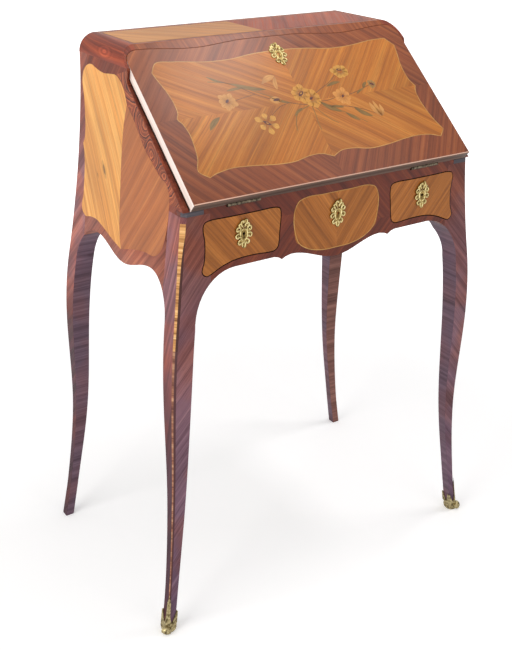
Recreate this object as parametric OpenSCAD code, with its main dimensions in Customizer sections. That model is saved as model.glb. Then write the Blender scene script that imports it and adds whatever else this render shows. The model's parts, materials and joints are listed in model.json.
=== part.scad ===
// A small slant-front lady's writing desk on four cabriole legs.
// Millimetres, +Z up. The desk faces -Y and stands on Z = 0.
// Pieces are drawn with the front face of the case at Y = 0, and in_place()
// moves them so that the origin lies under the middle of the whole desk.

/* [Case] */
// Width of the case between its outer faces, at the shoulders
case_w = 568; // [520:2:640]
// Depth of the case, from its front face to its back
case_d = 350; // [330:5:400]
// Height of the top above the floor
case_h = 948; // [930:2:990]
// Height of the top above the writing bed, where the fall is hinged
fall_rise = 211; // [200:1:220]
// Thickness of the side panels, the shoulders and the top board
board_t = 18; // [15:0.5:20]
// Outer radius of the rounded shoulders
shoulder_r = 30; // [26:1:34]
// Thickness of the front apron
apron_t = 20; // [18:0.5:24]
// Thickness of the back panel
back_t = 12; // [8:0.5:15]
// Thickness of the writing bed
bed_t = 12; // [11:0.5:14]
// Height of the dark blocks that end the ledge, on top of the front legs
end_t = 8; // [6:0.5:10]
// Distance of the front posts' inner faces from the outer faces of the case
post_w = 41; // [38:0.5:44]
// Distance of the back posts' inner faces from the outer faces of the case
rear_post_w = 30; // [26:0.5:34]

/* [Fall front] */
// Slope of the closed fall above the horizontal, in degrees
fall_slope = 41.3; // [40:0.1:44]
// Thickness of the fall
fall_t = 17; // [15:0.5:17]
// How far the ends of the fall stand in from the sides of the case
fall_reveal = 6; // [5:0.5:10]
// Width of the crossbanded strip above the ends of the fall, along the slope
strip_w = 12; // [10:0.5:15]
// Depth of the two hollows in the serpentine upper edge of the fall
fall_dip = 7.5; // [0:0.5:10]
// Radius of the fall's upper corners
fall_corner_r = 24; // [18:1:27]
// Gap round the upper edge of the fall
fall_gap = 0.8; // [0.5:0.1:1.5]
// Distance of the hinge line in front of the case
pin_out = 0.6; // [0.5:0.1:1]
// Thickness of the leather on the inside of the fall
leather_t = 1; // [0.8:0.1:1.5]
// Margin of wood round the leather
leather_margin = 40; // [30:1:50]

/* [Leg curves] */
// Distance of the knee below the writing bed
knee_drop = 287; // [270:1:305]
// Height of the narrow waist of the curve, as a share of the way from the ankle to the knee
waist_share = 0.43; // [0.38:0.01:0.48]
// Height of the ankle
ankle_z = 80; // [70:2:100]
// Distance below the arches of the front apron where the brackets of the legs begin
bracket_drop = 90; // [85:1:100]
// How far the knee stands out sideways from the case
knee_side = 31.5; // [20:0.5:34]
// How far the waist stands out sideways
waist_side = 30; // [18:0.5:33]
// How far a front ankle stands out sideways
ankle_side = 41; // [26:0.5:44]
// How far a front foot stands out sideways
foot_side = 52; // [35:0.5:54]
// How far a back ankle stands out sideways
rear_ankle_side = 46; // [28:0.5:48]
// How far a back foot stands out sideways
rear_foot_side = 60; // [40:0.5:62]
// How far the front knee stands out to the front
knee_front = 11.5; // [6:0.5:16]
// How far the front waist stands out
waist_front = 5; // [3:0.5:9]
// How far the front ankle stands out
ankle_front = 12; // [7:0.5:16]
// How far the front foot stands out
foot_front = 18; // [14:0.5:25]
// How far the back knee stands out to the back
knee_back = 33; // [24:0.5:36]
// How far the back waist stands out
waist_back = 29; // [20:0.5:32]
// How far the back ankle stands out
ankle_back = 32; // [24:0.5:38]
// How far the back foot stands out
foot_back = 34; // [28:0.5:42]
// Width of a leg at the bracket
bracket_w = 35; // [32:0.5:38]
// Width of a leg at the knee
knee_w = 34; // [31:0.5:37]
// Width of a leg at the waist
waist_w = 24; // [21:0.5:27]
// Depth of a front leg at the knee
knee_depth = 32; // [29:0.5:35]
// Depth of a front leg at the waist
waist_depth = 19; // [17:0.5:25]
// How much thinner the back legs are from front to back
rear_slim = 3; // [0:0.5:4]
// Width of a leg at the ankle
ankle_w = 16; // [14:0.5:18]
// Width of a leg at the foot
foot_w = 16; // [14:0.5:18]
// Width that the canted corner strip takes off each face, at the ledge
cant_top = 7; // [4:0.5:9]
// Width that the canted strip takes off each face at the foot
cant_foot = 2.5; // [1.5:0.5:4]

/* [Aprons] */
// Distance of the arches of the front apron below the writing bed
arch_drop = 102; // [99:1:107]
// How far the middle lobe of the front apron hangs below its arches
lobe_drop = 22; // [10:1:26]
// Half the width of the middle lobe
lobe_half = 92; // [84:1:96]
// Place of the two cusps from the middle
cusp_x = 110; // [105:1:114]
// How far the cusps hang below the arches
cusp_drop = 6.5; // [3:0.5:9]
// Distance from the outer faces to where the front arches run level
arch_side = 85; // [75:1:95]
// Distance of the arches of the side aprons below the writing bed
side_arch_drop = 113; // [107:1:119]
// How far the middle lobe of a side apron hangs below its arches
side_lobe_drop = 22; // [12:1:26]
// Distance from the front face to the crown of the front arch, and from the back to the back one
side_arch_in = 82; // [74:1:90]

/* [Large drawers] */
// Inner end of a drawer front, from the middle
drawer_in = 113; // [111:0.5:118]
// Outer end of a drawer front, from the middle, measured in from the side of the case
drawer_side = 30; // [28:0.5:34]
// Distance of the top of a drawer front below the ledge
drawer_top_gap = 20.5; // [20:0.5:23]
// Height of the level part of a drawer's lower edge above the arches
drawer_low_gap = 11; // [9:0.5:14]
// How far the outer ear of a drawer front hangs below that
ear_drop = 16; // [8:0.5:18]
// Thickness of the drawer fronts
drawer_front_t = 18; // [15:0.5:20]
// Gap round the drawer fronts
drawer_gap = 1.5; // [1:0.1:2]
// Thickness of the drawers' sides and backs
drawer_wall = 8; // [6:0.5:9]
// Thickness of the drawers' bottoms
drawer_floor = 5; // [4:0.5:7]
// Depth of the drawers behind their fronts
drawer_d = 275; // [200:5:285]
// Running clearance of the drawers
slide_gap = 0.3; // [0.2:0.05:0.5]

/* [Well] */
// Half the width of the opening of the well
well_half = 80; // [60:1:84]
// Front edge of the well from the front face
well_front = 45; // [38:1:60]
// Length of the well's opening
well_len = 115; // [80:1:120]
// Thickness of the sliding cover
cover_t = 6; // [5:0.5:6]
// Width of the ledge that the cover runs on, and of its overlap at the back
cover_lap = 7; // [5:0.5:9]
// Depth of the well below the writing bed
well_depth = 62; // [40:1:70]
// Thickness of the walls and floor of the well
well_wall = 7; // [5:0.5:8]

/* [Pigeonholes] */
// Depth of the pigeonholes
nest_d = 110; // [90:1:115]
// Thickness of their boards
nest_t = 6; // [5:0.5:8]
// Half the width of the middle bay
bay_half = 88; // [75:1:100]
// Height of the lower compartments that hold the small drawers
inner_h = 52; // [40:1:58]
// Height of the lower letter slot in the middle bay
slot_h = 52; // [45:1:60]
// Height of the small middle drawer
inner_mid_h = 36; // [28:1:44]
// Thickness of the small drawers' fronts
inner_front_t = 8; // [6:0.5:10]
// Thickness of the small drawers' boards
inner_wall = 4; // [3:0.5:5]
// Radius of the small drawers' knobs
knob_r = 6; // [5:0.5:7]

/* [Hinges, locks and mounts] */
// Distance of the hinges' middles from the ends of the fall
hinge_in = 94; // [70:1:120]
// Length of a hinge
hinge_len = 60; // [45:1:62]
// Radius of a hinge's knuckles
knuckle_r = 3; // [2.6:0.1:3.2]
// Radius of a hinge's pin
pin_r = 1.3; // [1:0.1:1.5]
// Running clearance of the pin in its knuckles
pin_fit = 0.05; // [0.02:0.01:0.08]
// Width of a hinge's leaves
leaf_w = 15; // [12:0.5:16]
// Thickness of a hinge's leaves
leaf_t = 1.8; // [1.5:0.1:2.5]
// Radius of the round part of the keyholes
key_r = 2.6; // [2:0.1:3]
// Thickness of the gilt key plates
plate_t = 2.4; // [2:0.1:3]
// Height of the gilt key plates
plate_h = 48; // [40:1:52]
// Height of the ears of the sabots, on the inner edges of the leg
ear_h = 36; // [30:1:42]
// Height of the leaf that climbs the outer corner from a sabot
leaf_h = 70; // [60:1:76]
// Height of the neck of a sabot between them
neck_h = 17; // [13:1:22]
// Thickness of a sabot's wall
sabot_t = 2; // [1.5:0.1:2.5]
// Radius of the scroll that forms the toe
toe_r = 7; // [5:0.5:8]
// Thickness of a sabot's sole
sole_t = 4; // [3:0.5:6]

/* [Hidden] */
$fn = 48;

rosewood = [0.45, 0.20, 0.12];
tulipwood = [0.76, 0.50, 0.24];
oak = [0.62, 0.47, 0.30];
gilt = [0.80, 0.66, 0.30];
brass = [0.72, 0.60, 0.30];
ebonised = [0.16, 0.13, 0.13];
hide = [0.30, 0.13, 0.09];

half_w = case_w / 2;
level_pitch = 20;
shoulder_z = case_h - shoulder_r;
ledge_z = case_h - fall_rise;
arch_z = ledge_z - arch_drop;
side_arch_z = ledge_z - side_arch_drop;
bracket_z = arch_z - bracket_drop;
knee_z = ledge_z - knee_drop;
waist_z = ankle_z + waist_share * (knee_z - ankle_z);
bed_low_z = ledge_z - bed_t;
post_x = half_w - post_w;
rear_post_x = half_w - rear_post_w;
post_back_y = case_d - rear_post_w;
inner_x = half_w - board_t;
back_y = case_d - back_t;
leg_top_z = ledge_z - end_t;
toe_half = toe_r * 1.1;
toe_end_r = toe_r * 0.65;
front_reach = foot_front + (toe_half + toe_end_r) / sqrt(2);
front_y = -(case_d + foot_back - front_reach) / 2;

// Lines of the legs: height, and how far the outer face stands out there
ledge_side = 6;
ledge_back = 8;
brow_drop = fall_rise / 3;
upper_side_line = [[waist_z, waist_side], [knee_z, knee_side], [bracket_z - 25, 0.89 * knee_side],
    [arch_z - 35, 0.6 * knee_side],
    [ledge_z, ledge_side], [case_h - brow_drop, 0], [case_h, 0]];
side_line = concat([[0, foot_side], [ankle_z, ankle_side]], upper_side_line);
rear_side_line = concat([[0, rear_foot_side], [ankle_z, rear_ankle_side]], upper_side_line);
front_line = [[0, foot_front], [ankle_z, ankle_front], [waist_z, waist_front], [knee_z, knee_front],
    [bracket_z - 15, 0.87 * knee_front], [arch_z - 15, 0.3 * knee_front], [ledge_z - 37, 0],
    [case_h, 0]];
back_line = [[0, foot_back], [ankle_z, ankle_back], [waist_z, waist_back], [knee_z, knee_back],
    [bracket_z - 15, 0.85 * knee_back], [arch_z - 15, 0.54 * knee_back], [ledge_z, ledge_back],
    [case_h - brow_drop, 0], [case_h, 0]];
width_line = [[0, foot_w], [ankle_z, ankle_w], [waist_z, waist_w], [knee_z, knee_w],
    [bracket_z, bracket_w], [case_h, bracket_w]];
depth_line = [[0, foot_w], [ankle_z, ankle_w], [waist_z, waist_depth], [knee_z, knee_depth],
    [bracket_z, bracket_w], [case_h, bracket_w]];
cant_line = [[0, cant_foot], [waist_z, (cant_foot + cant_top) / 2 - 0.8], [ledge_z, cant_top]];

// A smooth curve through stations [height, value]: on each stretch a cubic whose
// end slopes are the mean slopes of the stretches that meet there
function stretch(s, z, i = 0) = (i >= len(s) - 2 || z < s[i + 1][0]) ? i : stretch(s, z, i + 1);
function rise(s, i) = (s[i + 1][1] - s[i][1]) / (s[i + 1][0] - s[i][0]);
function end_slope(s, i) = i == 0 ? rise(s, 0)
    : i == len(s) - 1 ? rise(s, i - 1)
    : (rise(s, i - 1) + rise(s, i)) / 2;
function smooth(s, z) =
    let (i = stretch(s, z), h = s[i + 1][0] - s[i][0], t = (z - s[i][0]) / h)
    (2 * pow(t, 3) - 3 * t * t + 1) * s[i][1] + (pow(t, 3) - 2 * t * t + t) * h * end_slope(s, i)
    + (3 * t * t - 2 * pow(t, 3)) * s[i + 1][1] + (pow(t, 3) - t * t) * h * end_slope(s, i + 1);

function side_out(z) = half_w + smooth(side_line, z);
function rear_side_out(z) = half_w + smooth(rear_side_line, z);
function front_out(z) = smooth(front_line, z);
function back_out(z) = smooth(back_line, z);

// Heights at which the curved faces are cut into flats, the same for every piece
function levels(low, high) = concat([low],
    [for (z = [level_pitch : level_pitch : case_h]) if (z > low + 2 && z < high - 2) z], [high]);
function backwards(list) = [for (i = [len(list) - 1 : -1 : 0]) list[i]];

// The brackets: a quarter of an ellipse from the inside of a leg to the arch of an apron
arch_x = half_w - arch_side;
bracket_steps = 12;
function bracket(from_edge, to_x, low, high) =
    [for (i = [0 : bracket_steps]) let (a = 90 * i / bracket_steps)
        [to_x + (from_edge - to_x) * cos(a), low + (high - low) * sin(a)]];
// The same curve with a point where the leg ends and the apron begins
function parted(curve, u) = let (z = lookup(u, curve))
    concat([for (p = curve) if (p[1] < z) p], [[u, z]], [for (p = curve) if (p[1] > z) p]);
front_bracket = parted(bracket(side_out(bracket_z) - bracket_w, arch_x, bracket_z, arch_z), post_x);
side_front_bracket = parted(bracket(bracket_w - front_out(bracket_z), side_arch_in,
    bracket_z, side_arch_z), post_w);
side_back_bracket = parted(bracket(case_d + back_out(bracket_z) - bracket_w + rear_slim,
    case_d - side_arch_in, bracket_z, side_arch_z), post_back_y);

// Flat outlines are drawn as (x, z) and carried along Y, or as (y, z) and carried along X
module along_y(low, high) {
    translate([0, high, 0])
        rotate([90, 0, 0])
            linear_extrude(height = high - low)
                children();
}
module along_x(low, high) {
    translate([low, 0, 0])
        rotate([90, 0, 90])
            linear_extrude(height = high - low)
                children();
}
module in_place() {
    translate([0, front_y, 0])
        children();
}
module other_side() {
    mirror([1, 0, 0])
        children();
}
module block(low, high) {
    translate(low)
        cube(high - low);
}

// Legs: the front view and the side view of each are sawn through the same blank
module front_leg_front_view(low, high, grow = 0) {
    span = levels(low, min(high, bracket_z));
    upper = high > bracket_z;
    polygon(concat(
        [for (z = levels(low, high)) [side_out(z) + grow, z]],
        upper ? [[post_x, high]] : [],
        upper ? backwards([for (p = front_bracket) if (p[0] >= post_x && p[1] > bracket_z) p]) : [],
        backwards([for (z = span) [side_out(z) - smooth(width_line, z) - grow, z]])));
}
module front_leg_side_view(low, high, grow = 0) {
    span = levels(low, min(high, bracket_z));
    upper = high > bracket_z;
    polygon(concat(
        [for (z = levels(low, high)) [-front_out(z) - grow, z]],
        upper ? [[post_w, high]] : [],
        upper ? backwards([for (p = side_front_bracket) if (p[0] <= post_w && p[1] > bracket_z) p]) : [],
        backwards([for (z = span) [smooth(depth_line, z) - front_out(z) + grow, z]])));
}
// Everything behind the cant, seen along the cant: u runs out from the corner of the case
module cant_view(low, high, grow = 0) {
    polygon(concat(
        [for (z = levels(low, high))
            [(side_out(z) + front_out(z) - smooth(cant_line, z)) / sqrt(2) + grow, z]],
        [[0, high], [0, low]]));
}
module front_leg_solid(low, high, grow = 0) {
    reach = 400;
    intersection() {
        along_y(-reach, reach)
            front_leg_front_view(low, high, grow);
        along_x(0, reach)
            front_leg_side_view(low, high, grow);
        rotate([90, 0, -45])
            translate([0, 0, -2 * reach])
                linear_extrude(height = 4 * reach)
                    cant_view(low, high, grow);
    }
}
module front_leg() {
    difference() {
        front_leg_solid(sole_t, leg_top_z);
        along_y(-case_d, drawer_front_t + 0.5)
            polygon(grown(drawer_outline, drawer_gap));
    }
}
rear_bracket_z = arch_z - 40;
module rear_leg() {
    intersection() {
        along_y(0, 2 * case_d)
            polygon(concat(
                [for (z = levels(0, shoulder_z)) [rear_side_out(z), z]],
                [[rear_post_x, shoulder_z], [rear_post_x, arch_z + 5]],
                backwards([for (z = levels(0, rear_bracket_z))
                    [rear_side_out(z) - smooth(width_line, z), z]])));
        along_x(0, case_w)
            polygon(concat(
                [for (z = levels(0, shoulder_z)) [case_d + back_out(z), z]],
                [[post_back_y, shoulder_z]],
                backwards([for (p = side_back_bracket) if (p[0] >= post_back_y && p[1] > bracket_z) p]),
                backwards([for (z = levels(0, bracket_z))
                    [case_d + back_out(z) - smooth(depth_line, z) + rear_slim * min(1, z / waist_z),
                     z]])));
    }
}
module front_left_leg() {
    color(rosewood)
        in_place()
            other_side()
                front_leg();
}
module front_right_leg() {
    color(rosewood)
        in_place()
            front_leg();
}
module rear_left_leg() {
    color(rosewood)
        in_place()
            other_side()
                rear_leg();
}
module rear_right_leg() {
    color(rosewood)
        in_place()
            rear_leg();
}

// Sabots: a cast skin round the front foot whose neck dips on each face between an ear on the
// inner edge and a leaf up the canted corner, ending below in a scrolled toe
neck_w = foot_w + 2 * sabot_t;
sole_r = foot_w * 0.6;
neck_points = [[neck_w, ear_h], [neck_w * 0.86, ear_h], [neck_w * 0.72, (ear_h + neck_h) / 2],
    [neck_w * 0.52, neck_h], [neck_w * 0.36, neck_h + 5], [neck_w * 0.26, ear_h - 4],
    [neck_w * 0.22, leaf_h - 14], [neck_w * 0.12, leaf_h - 4], [cant_foot, leaf_h]];
module sabot() {
    far = 60;
    difference() {
        union() {
            intersection() {
                front_leg_solid(0, leaf_h, sabot_t);
                along_y(-case_d, case_d)
                    polygon(concat(
                        [for (p = neck_points) [side_out(p[1]) + sabot_t - p[0], p[1]]],
                        [[half_w + far, leaf_h], [half_w + far, -1], [half_w, -1], [half_w, ear_h]]));
                along_x(0, case_w)
                    polygon(concat(
                        [for (p = neck_points) [p[0] - front_out(p[1]) - sabot_t, p[1]]],
                        [[-far, leaf_h], [-far, -1], [far, -1], [far, ear_h]]));
                translate([side_out(0) - foot_w / 2, -front_out(0) + foot_w / 2, 0])
                    rotate_extrude()
                        polygon([[0, 0], [sole_r, 0], [sole_r + 3, 2.5], [sole_r + 4.5, 7],
                            [sole_r + 4.5, neck_h - 2], [far, ear_h], [far, leaf_h], [0, leaf_h]]);
            }
            translate([side_out(0), -front_out(0), toe_r])
                rotate([0, 90, 45])
                    rotate_extrude()
                        polygon([[0, -toe_half], [toe_end_r, -toe_half], [toe_r * 0.9, -toe_half / 2],
                            [toe_r, 0], [toe_r * 0.9, toe_half / 2], [toe_end_r, toe_half],
                            [0, toe_half]]);
        }
        front_leg_solid(sole_t, leaf_h + 20);
    }
}
module left_sabot() {
    color(gilt)
        in_place()
            other_side()
                sabot();
}
module right_sabot() {
    color(gilt)
        in_place()
            sabot();
}

// The slope: a point at height z and distance n outside the fall's inner face
function slope_y(z, n) = -pin_out + (z - ledge_z) / tan(fall_slope) - n / sin(fall_slope);
// Pieces on the fall are drawn flat: x across, y up the slope from the hinge line, z outwards
module on_fall() {
    translate([0, -pin_out, ledge_z])
        rotate([fall_slope, 0, 0])
            children();
}
function up_slope(z, n) = (z - ledge_z - n * cos(fall_slope)) / sin(fall_slope);
arris_v = up_slope(case_h, fall_t);
shoulder_v = up_slope(shoulder_z, fall_t);
fall_top_v = arris_v - strip_w;
fall_half = half_w - fall_reveal;
fall_low_v = 0.2;
fall_rest = 0.2;

// The outline of the fall: straight ends, upper corners that follow the shoulders, and
// an upper edge with a shallow hollow between each corner and the middle
dip_steps = 10;
corner_steps = 9;
fall_corner_x = fall_half - fall_corner_r;
corner_v = fall_top_v - fall_corner_r;
dip_half = fall_corner_x * 0.41;
function fall_half_outline(grow) = concat(
    [[fall_half + grow, fall_low_v]],
    [for (i = [0 : corner_steps]) let (a = 90 * i / corner_steps)
        [fall_corner_x + (fall_half + grow - fall_corner_x) * cos(a),
         corner_v + (fall_top_v + grow - corner_v) * sin(a)]],
    [for (i = [1 : dip_steps]) let (t = i / dip_steps)
        [fall_corner_x - 2 * dip_half * t,
         fall_top_v + grow - fall_dip * (1 - cos(360 * t)) / 2]]);
function both_halves(half) = concat(half, backwards([for (p = half) [-p[0], p[1]]]));

// Side panels, from the apron with its serpentine edge up to the shoulder; at the top their
// sloping edge rises in a curve beside the fall to meet the crossbanded strip
side_steps = 20;
crest_steps = 8;
crest_len = 14;
module side_outline() {
    lobe_len = case_d - 2 * side_arch_in;
    polygon(concat(
        [[post_w, leg_top_z], [apron_t, leg_top_z], [apron_t, ledge_z], [0, ledge_z],
         [0, ledge_z + pin_out * tan(fall_slope)]],
        [for (i = [0 : crest_steps]) let (t = i / crest_steps,
            v = shoulder_v - crest_len * (1 - t), n = fall_t * (1 - cos(180 * t)) / 2)
            [-pin_out + v * cos(fall_slope) - n * sin(fall_slope),
             ledge_z + v * sin(fall_slope) + n * cos(fall_slope)]],
        [[post_back_y, shoulder_z]],
        [for (p = side_back_bracket) if (p[0] <= post_back_y) p],
        [for (i = [1 : side_steps - 1]) let (t = i / side_steps)
            [case_d - side_arch_in - lobe_len * t,
             side_arch_z - side_lobe_drop * (1 - cos(360 * t)) / 2]],
        backwards([for (p = side_front_bracket) if (p[0] >= post_w) p])));
}
module side_panel() {
    low = side_arch_z - side_lobe_drop - level_pitch;
    difference() {
        intersection() {
            along_x(0, case_w)
                side_outline();
            along_y(-case_d, 2 * case_d)
                polygon(concat([for (z = levels(low, shoulder_z)) [side_out(z), z]],
                    [[inner_x, shoulder_z], [inner_x, low]]));
        }
        fall_cut(2 * fall_t);
    }
}
module left_side_panel() {
    color(tulipwood)
        in_place()
            other_side()
                side_panel();
}
module right_side_panel() {
    color(tulipwood)
        in_place()
            side_panel();
}

// The top: a board between two quarter-round shoulders
module fall_cut(depth) {
    on_fall()
        linear_extrude(height = depth)
            polygon(both_halves(fall_half_outline(fall_gap)));
}
module shoulder() {
    difference() {
        intersection() {
            along_y(0, case_d)
                difference() {
                    intersection() {
                        translate([half_w - shoulder_r, shoulder_z])
                            circle(r = shoulder_r, $fn = 96);
                        translate([half_w - shoulder_r, shoulder_z])
                            square(shoulder_r);
                    }
                    translate([half_w - shoulder_r, shoulder_z])
                        circle(r = shoulder_r - board_t, $fn = 96);
                }
            along_x(0, case_w)
                polygon([[slope_y(case_h, fall_t), case_h], [case_d, case_h],
                    [case_d, shoulder_z], [slope_y(shoulder_z, fall_t), shoulder_z]]);
        }
        fall_cut(2 * fall_t);
    }
}
module left_shoulder() {
    color(rosewood)
        in_place()
            other_side()
                shoulder();
}
module right_shoulder() {
    color(rosewood)
        in_place()
            shoulder();
}
flat_x = half_w - shoulder_r;
top_rail_z = case_h - 2 * board_t;
top_rail_t = 20;
bolt_w = 15;
bolt_t = 4;
bolt_n = 3;
bolt_travel = 6;
keeper_t = 1.5;
keeper_v = fall_top_v + fall_gap + 0.2;
module top_board() {
    under_z = case_h - board_t;
    rail_y = slope_y(top_rail_z, 0) + top_rail_t;
    color(tulipwood)
        in_place()
            difference() {
                along_x(-flat_x, flat_x)
                    polygon([[slope_y(case_h, fall_t), case_h], [case_d, case_h],
                        [case_d, under_z], [rail_y, under_z], [rail_y, top_rail_z],
                        [slope_y(top_rail_z, fall_t), top_rail_z]]);
                fall_cut(2 * fall_t);
                on_fall()
                    block([-bolt_w / 2 - 1, fall_top_v, bolt_n - 1],
                        [bolt_w / 2 + 1, fall_top_v + bolt_travel + 4, bolt_n + bolt_t + 1]);
                on_fall()
                    block([-keeper_half, fall_top_v, 0.6],
                        [keeper_half, keeper_v + keeper_t, fall_t - 5]);
            }
}
keeper_half = 20;
module fall_lock_keeper() {
    color(brass)
        in_place()
            on_fall()
                difference() {
                    block([-keeper_half, keeper_v, 0.6],
                        [keeper_half, keeper_v + keeper_t, fall_t - 5]);
                    block([-bolt_w / 2 - 0.6, keeper_v - 1, bolt_n - 0.6],
                        [bolt_w / 2 + 0.6, keeper_v + keeper_t + 1, bolt_n + bolt_t + 0.6]);
                }
}
module back_panel() {
    inner_r = shoulder_r - board_t;
    low = side_arch_z - 4;
    color(oak)
        in_place()
            along_y(back_y, case_d)
                union() {
                    translate([-rear_post_x, low])
                        square([2 * rear_post_x, shoulder_z - low]);
                    translate([-flat_x, shoulder_z])
                        square([2 * flat_x, inner_r]);
                    for (s = [-1, 1])
                        translate([s * flat_x, shoulder_z])
                            intersection() {
                                circle(r = inner_r, $fn = 96);
                                translate([-inner_r, 0])
                                    square([2 * inner_r, inner_r]);
                            }
                }
}

// Front apron: the lower edge, the two drawer openings and the shallow seat of the false front
lobe_steps = 8;
function apron_half_edge() = concat(
    [for (i = [0 : lobe_steps]) let (x = lobe_half * i / lobe_steps)
        [x, arch_z - 1 - (lobe_drop - 1) * (1 + cos(180 * x / lobe_half)) / 2]],
    [[cusp_x - 7, arch_z - cusp_drop / 2], [cusp_x, arch_z - cusp_drop],
     [cusp_x + 7, arch_z - cusp_drop / 3], [cusp_x + 15, arch_z]],
    backwards([for (p = front_bracket) if (p[0] <= post_x) p]));

// A closed smooth curve through points
spline_steps = 3;
function through(p) = [for (i = [0 : len(p) - 1], k = [0 : spline_steps - 1])
    let (n = len(p), a = p[(i + n - 1) % n], b = p[i], c = p[(i + 1) % n], d = p[(i + 2) % n],
         t = k / spline_steps)
    0.5 * (2 * b + (c - a) * t + (2 * a - 5 * b + 4 * c - d) * t * t
        + (3 * b - a - 3 * c + d) * pow(t, 3))];
// The same curve moved outwards by a margin; the points run clockwise
function grown(p, margin) = [for (i = [0 : len(p) - 1])
    let (n = len(p), t = p[(i + 1) % n] - p[(i + n - 1) % n])
    p[i] + margin * [-t[1], t[0]] / norm(t)];

drawer_out = half_w - drawer_side;
drawer_top = ledge_z - drawer_top_gap;
drawer_low = arch_z + drawer_low_gap;
drawer_w = drawer_out - drawer_in;
drawer_outline = through([
    [drawer_in, drawer_top - 9], [drawer_in + 9, drawer_top], [drawer_in + 0.32 * drawer_w, drawer_top],
    [drawer_out - 0.32 * drawer_w, drawer_top], [drawer_out - 8, drawer_top],
    [drawer_out + 1, drawer_top - 9],
    [drawer_out - 2, drawer_top - 32], [drawer_out - 1, drawer_low + 10],
    [drawer_out + 4, drawer_low - ear_drop / 2], [drawer_out - 3, drawer_low - ear_drop],
    [drawer_out - 12, drawer_low - ear_drop + 2], [drawer_out - 0.23 * drawer_w, drawer_low - 5],
    [drawer_out - 0.41 * drawer_w, drawer_low + 1], [drawer_out - 0.64 * drawer_w, drawer_low + 2],
    [drawer_in + 0.14 * drawer_w, drawer_low], [drawer_in + 9, drawer_low + 2],
    [drawer_in + 4, drawer_low + 10],
    [drawer_in + 2, drawer_low + 32]]);

false_top = ledge_z - 15;
false_low = arch_z - lobe_drop + 18;
false_half = drawer_in - 25;
false_h = false_top - false_low;
function false_side(s) = [
    [s * (false_half - 2), false_top - 0.18 * false_h], [s * false_half, false_top - 0.35 * false_h],
    [s * (false_half - 4), false_top - 0.72 * false_h],
    [s * (false_half - 12), false_top - 0.83 * false_h],
    [s * 0.7 * false_half, false_top - 0.89 * false_h], [s * 0.36 * false_half, false_low + 1]];
false_outline = through(concat(
    [[-0.34 * false_half, false_top], [0.34 * false_half, false_top],
     [false_half - 20, false_top - 1], [false_half - 9, false_top - 5]],
    false_side(1), [[0, false_low]], backwards(false_side(-1)),
    [[-false_half + 9, false_top - 5], [-false_half + 20, false_top - 1]]));
veneer_t = 1.5;

module front_skin(depth, low, high) {
    along_x(-case_w, case_w)
        polygon(concat([for (z = levels(low, high)) [-front_out(z), z]], [[depth, high], [depth, low]]));
}
module front_apron() {
    low = arch_z - lobe_drop - 10;
    edge = apron_half_edge();
    color(rosewood)
        in_place()
            difference() {
                intersection() {
                    along_y(-case_d, case_d)
                        difference() {
                            polygon(concat(
                                [[ledge_in, ledge_z], [ledge_in, leg_top_z], [post_x, leg_top_z]],
                                backwards(edge), [for (p = edge) if (p[0] > 0) [-p[0], p[1]]],
                                [[-post_x, leg_top_z], [-ledge_in, leg_top_z], [-ledge_in, ledge_z]]));
                            polygon(grown(drawer_outline, drawer_gap));
                            mirror([1, 0])
                                polygon(grown(drawer_outline, drawer_gap));
                        }
                    front_skin(apron_t, low, ledge_z);
                }
                along_y(-case_d, veneer_t)
                    polygon(false_outline);
                for (s = [-1, 1])
                    hinge_recess(s);
            }
}
module centre_veneer_panel() {
    color(tulipwood)
        in_place()
            difference() {
                intersection() {
                    along_y(-case_d, veneer_t)
                        polygon(false_outline);
                    front_skin(apron_t, false_low - 10, false_top + 5);
                }
                translate([0, 0, plate_z])
                    keyhole(3);
            }
}
ledge_in = half_w - 30;
module ledge_end() {
    intersection() {
        along_y(0, apron_t)
            polygon(concat([for (z = levels(leg_top_z, ledge_z)) [side_out(z), z]],
                [[ledge_in, ledge_z], [ledge_in, leg_top_z]]));
        rotate([90, 0, -45])
            translate([0, 0, -2 * case_w])
                linear_extrude(height = 4 * case_w)
                    cant_view(leg_top_z, ledge_z);
    }
}
module ledge_ends() {
    color(ebonised)
        in_place() {
            ledge_end();
            other_side()
                ledge_end();
        }
}

// Writing bed with the channel of the sliding cover, and the well under it
channel_half = well_half + cover_lap;
channel_z = ledge_z - cover_t - slide_gap;
cover_len = well_len + cover_lap;
cover_travel = well_len;
nest_front = back_y - nest_d;
lock_bolt_w = 12;
lock_bolt_t = 4;
drawer_mid = (drawer_in + drawer_out) / 2;
lock_bolt_y = drawer_front_t + 3;
module back_post_notch() {
    block([rear_post_x, post_back_y, 0], [half_w, case_d, case_h]);
}
module writing_bed() {
    color(rosewood)
        in_place()
            difference() {
                block([-inner_x, apron_t, bed_low_z], [inner_x, back_y, ledge_z]);
                block([-well_half, well_front, bed_low_z - 1],
                    [well_half, well_front + well_len, ledge_z + 1]);
                block([-channel_half, well_front, channel_z],
                    [channel_half, well_front + cover_len + cover_travel + 1, ledge_z + 1]);
                for (s = [0, 1])
                    mirror([s, 0, 0]) {
                        block([post_x, 0, bed_low_z - 1], [half_w, post_w, leg_top_z]);
                        back_post_notch();
                    }
            }
}
module well_cover() {
    color(tulipwood)
        in_place()
            difference() {
                block([-channel_half + slide_gap, well_front + slide_gap, channel_z + slide_gap / 2],
                    [channel_half - slide_gap, well_front + cover_len - slide_gap, ledge_z - slide_gap]);
                translate([0, well_front + 14, ledge_z + 6])
                    rotate([0, 90, 0])
                        cylinder(r = 9, h = 40, center = true);
            }
}
module well_walls() {
    color(oak)
        in_place()
            difference() {
                block([-well_half - well_wall, well_front - well_wall, bed_low_z - well_depth],
                    [well_half + well_wall, well_front + well_len + well_wall, bed_low_z]);
                block([-well_half, well_front, bed_low_z - well_depth - 1],
                    [well_half, well_front + well_len, bed_low_z + 1]);
            }
}
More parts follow.
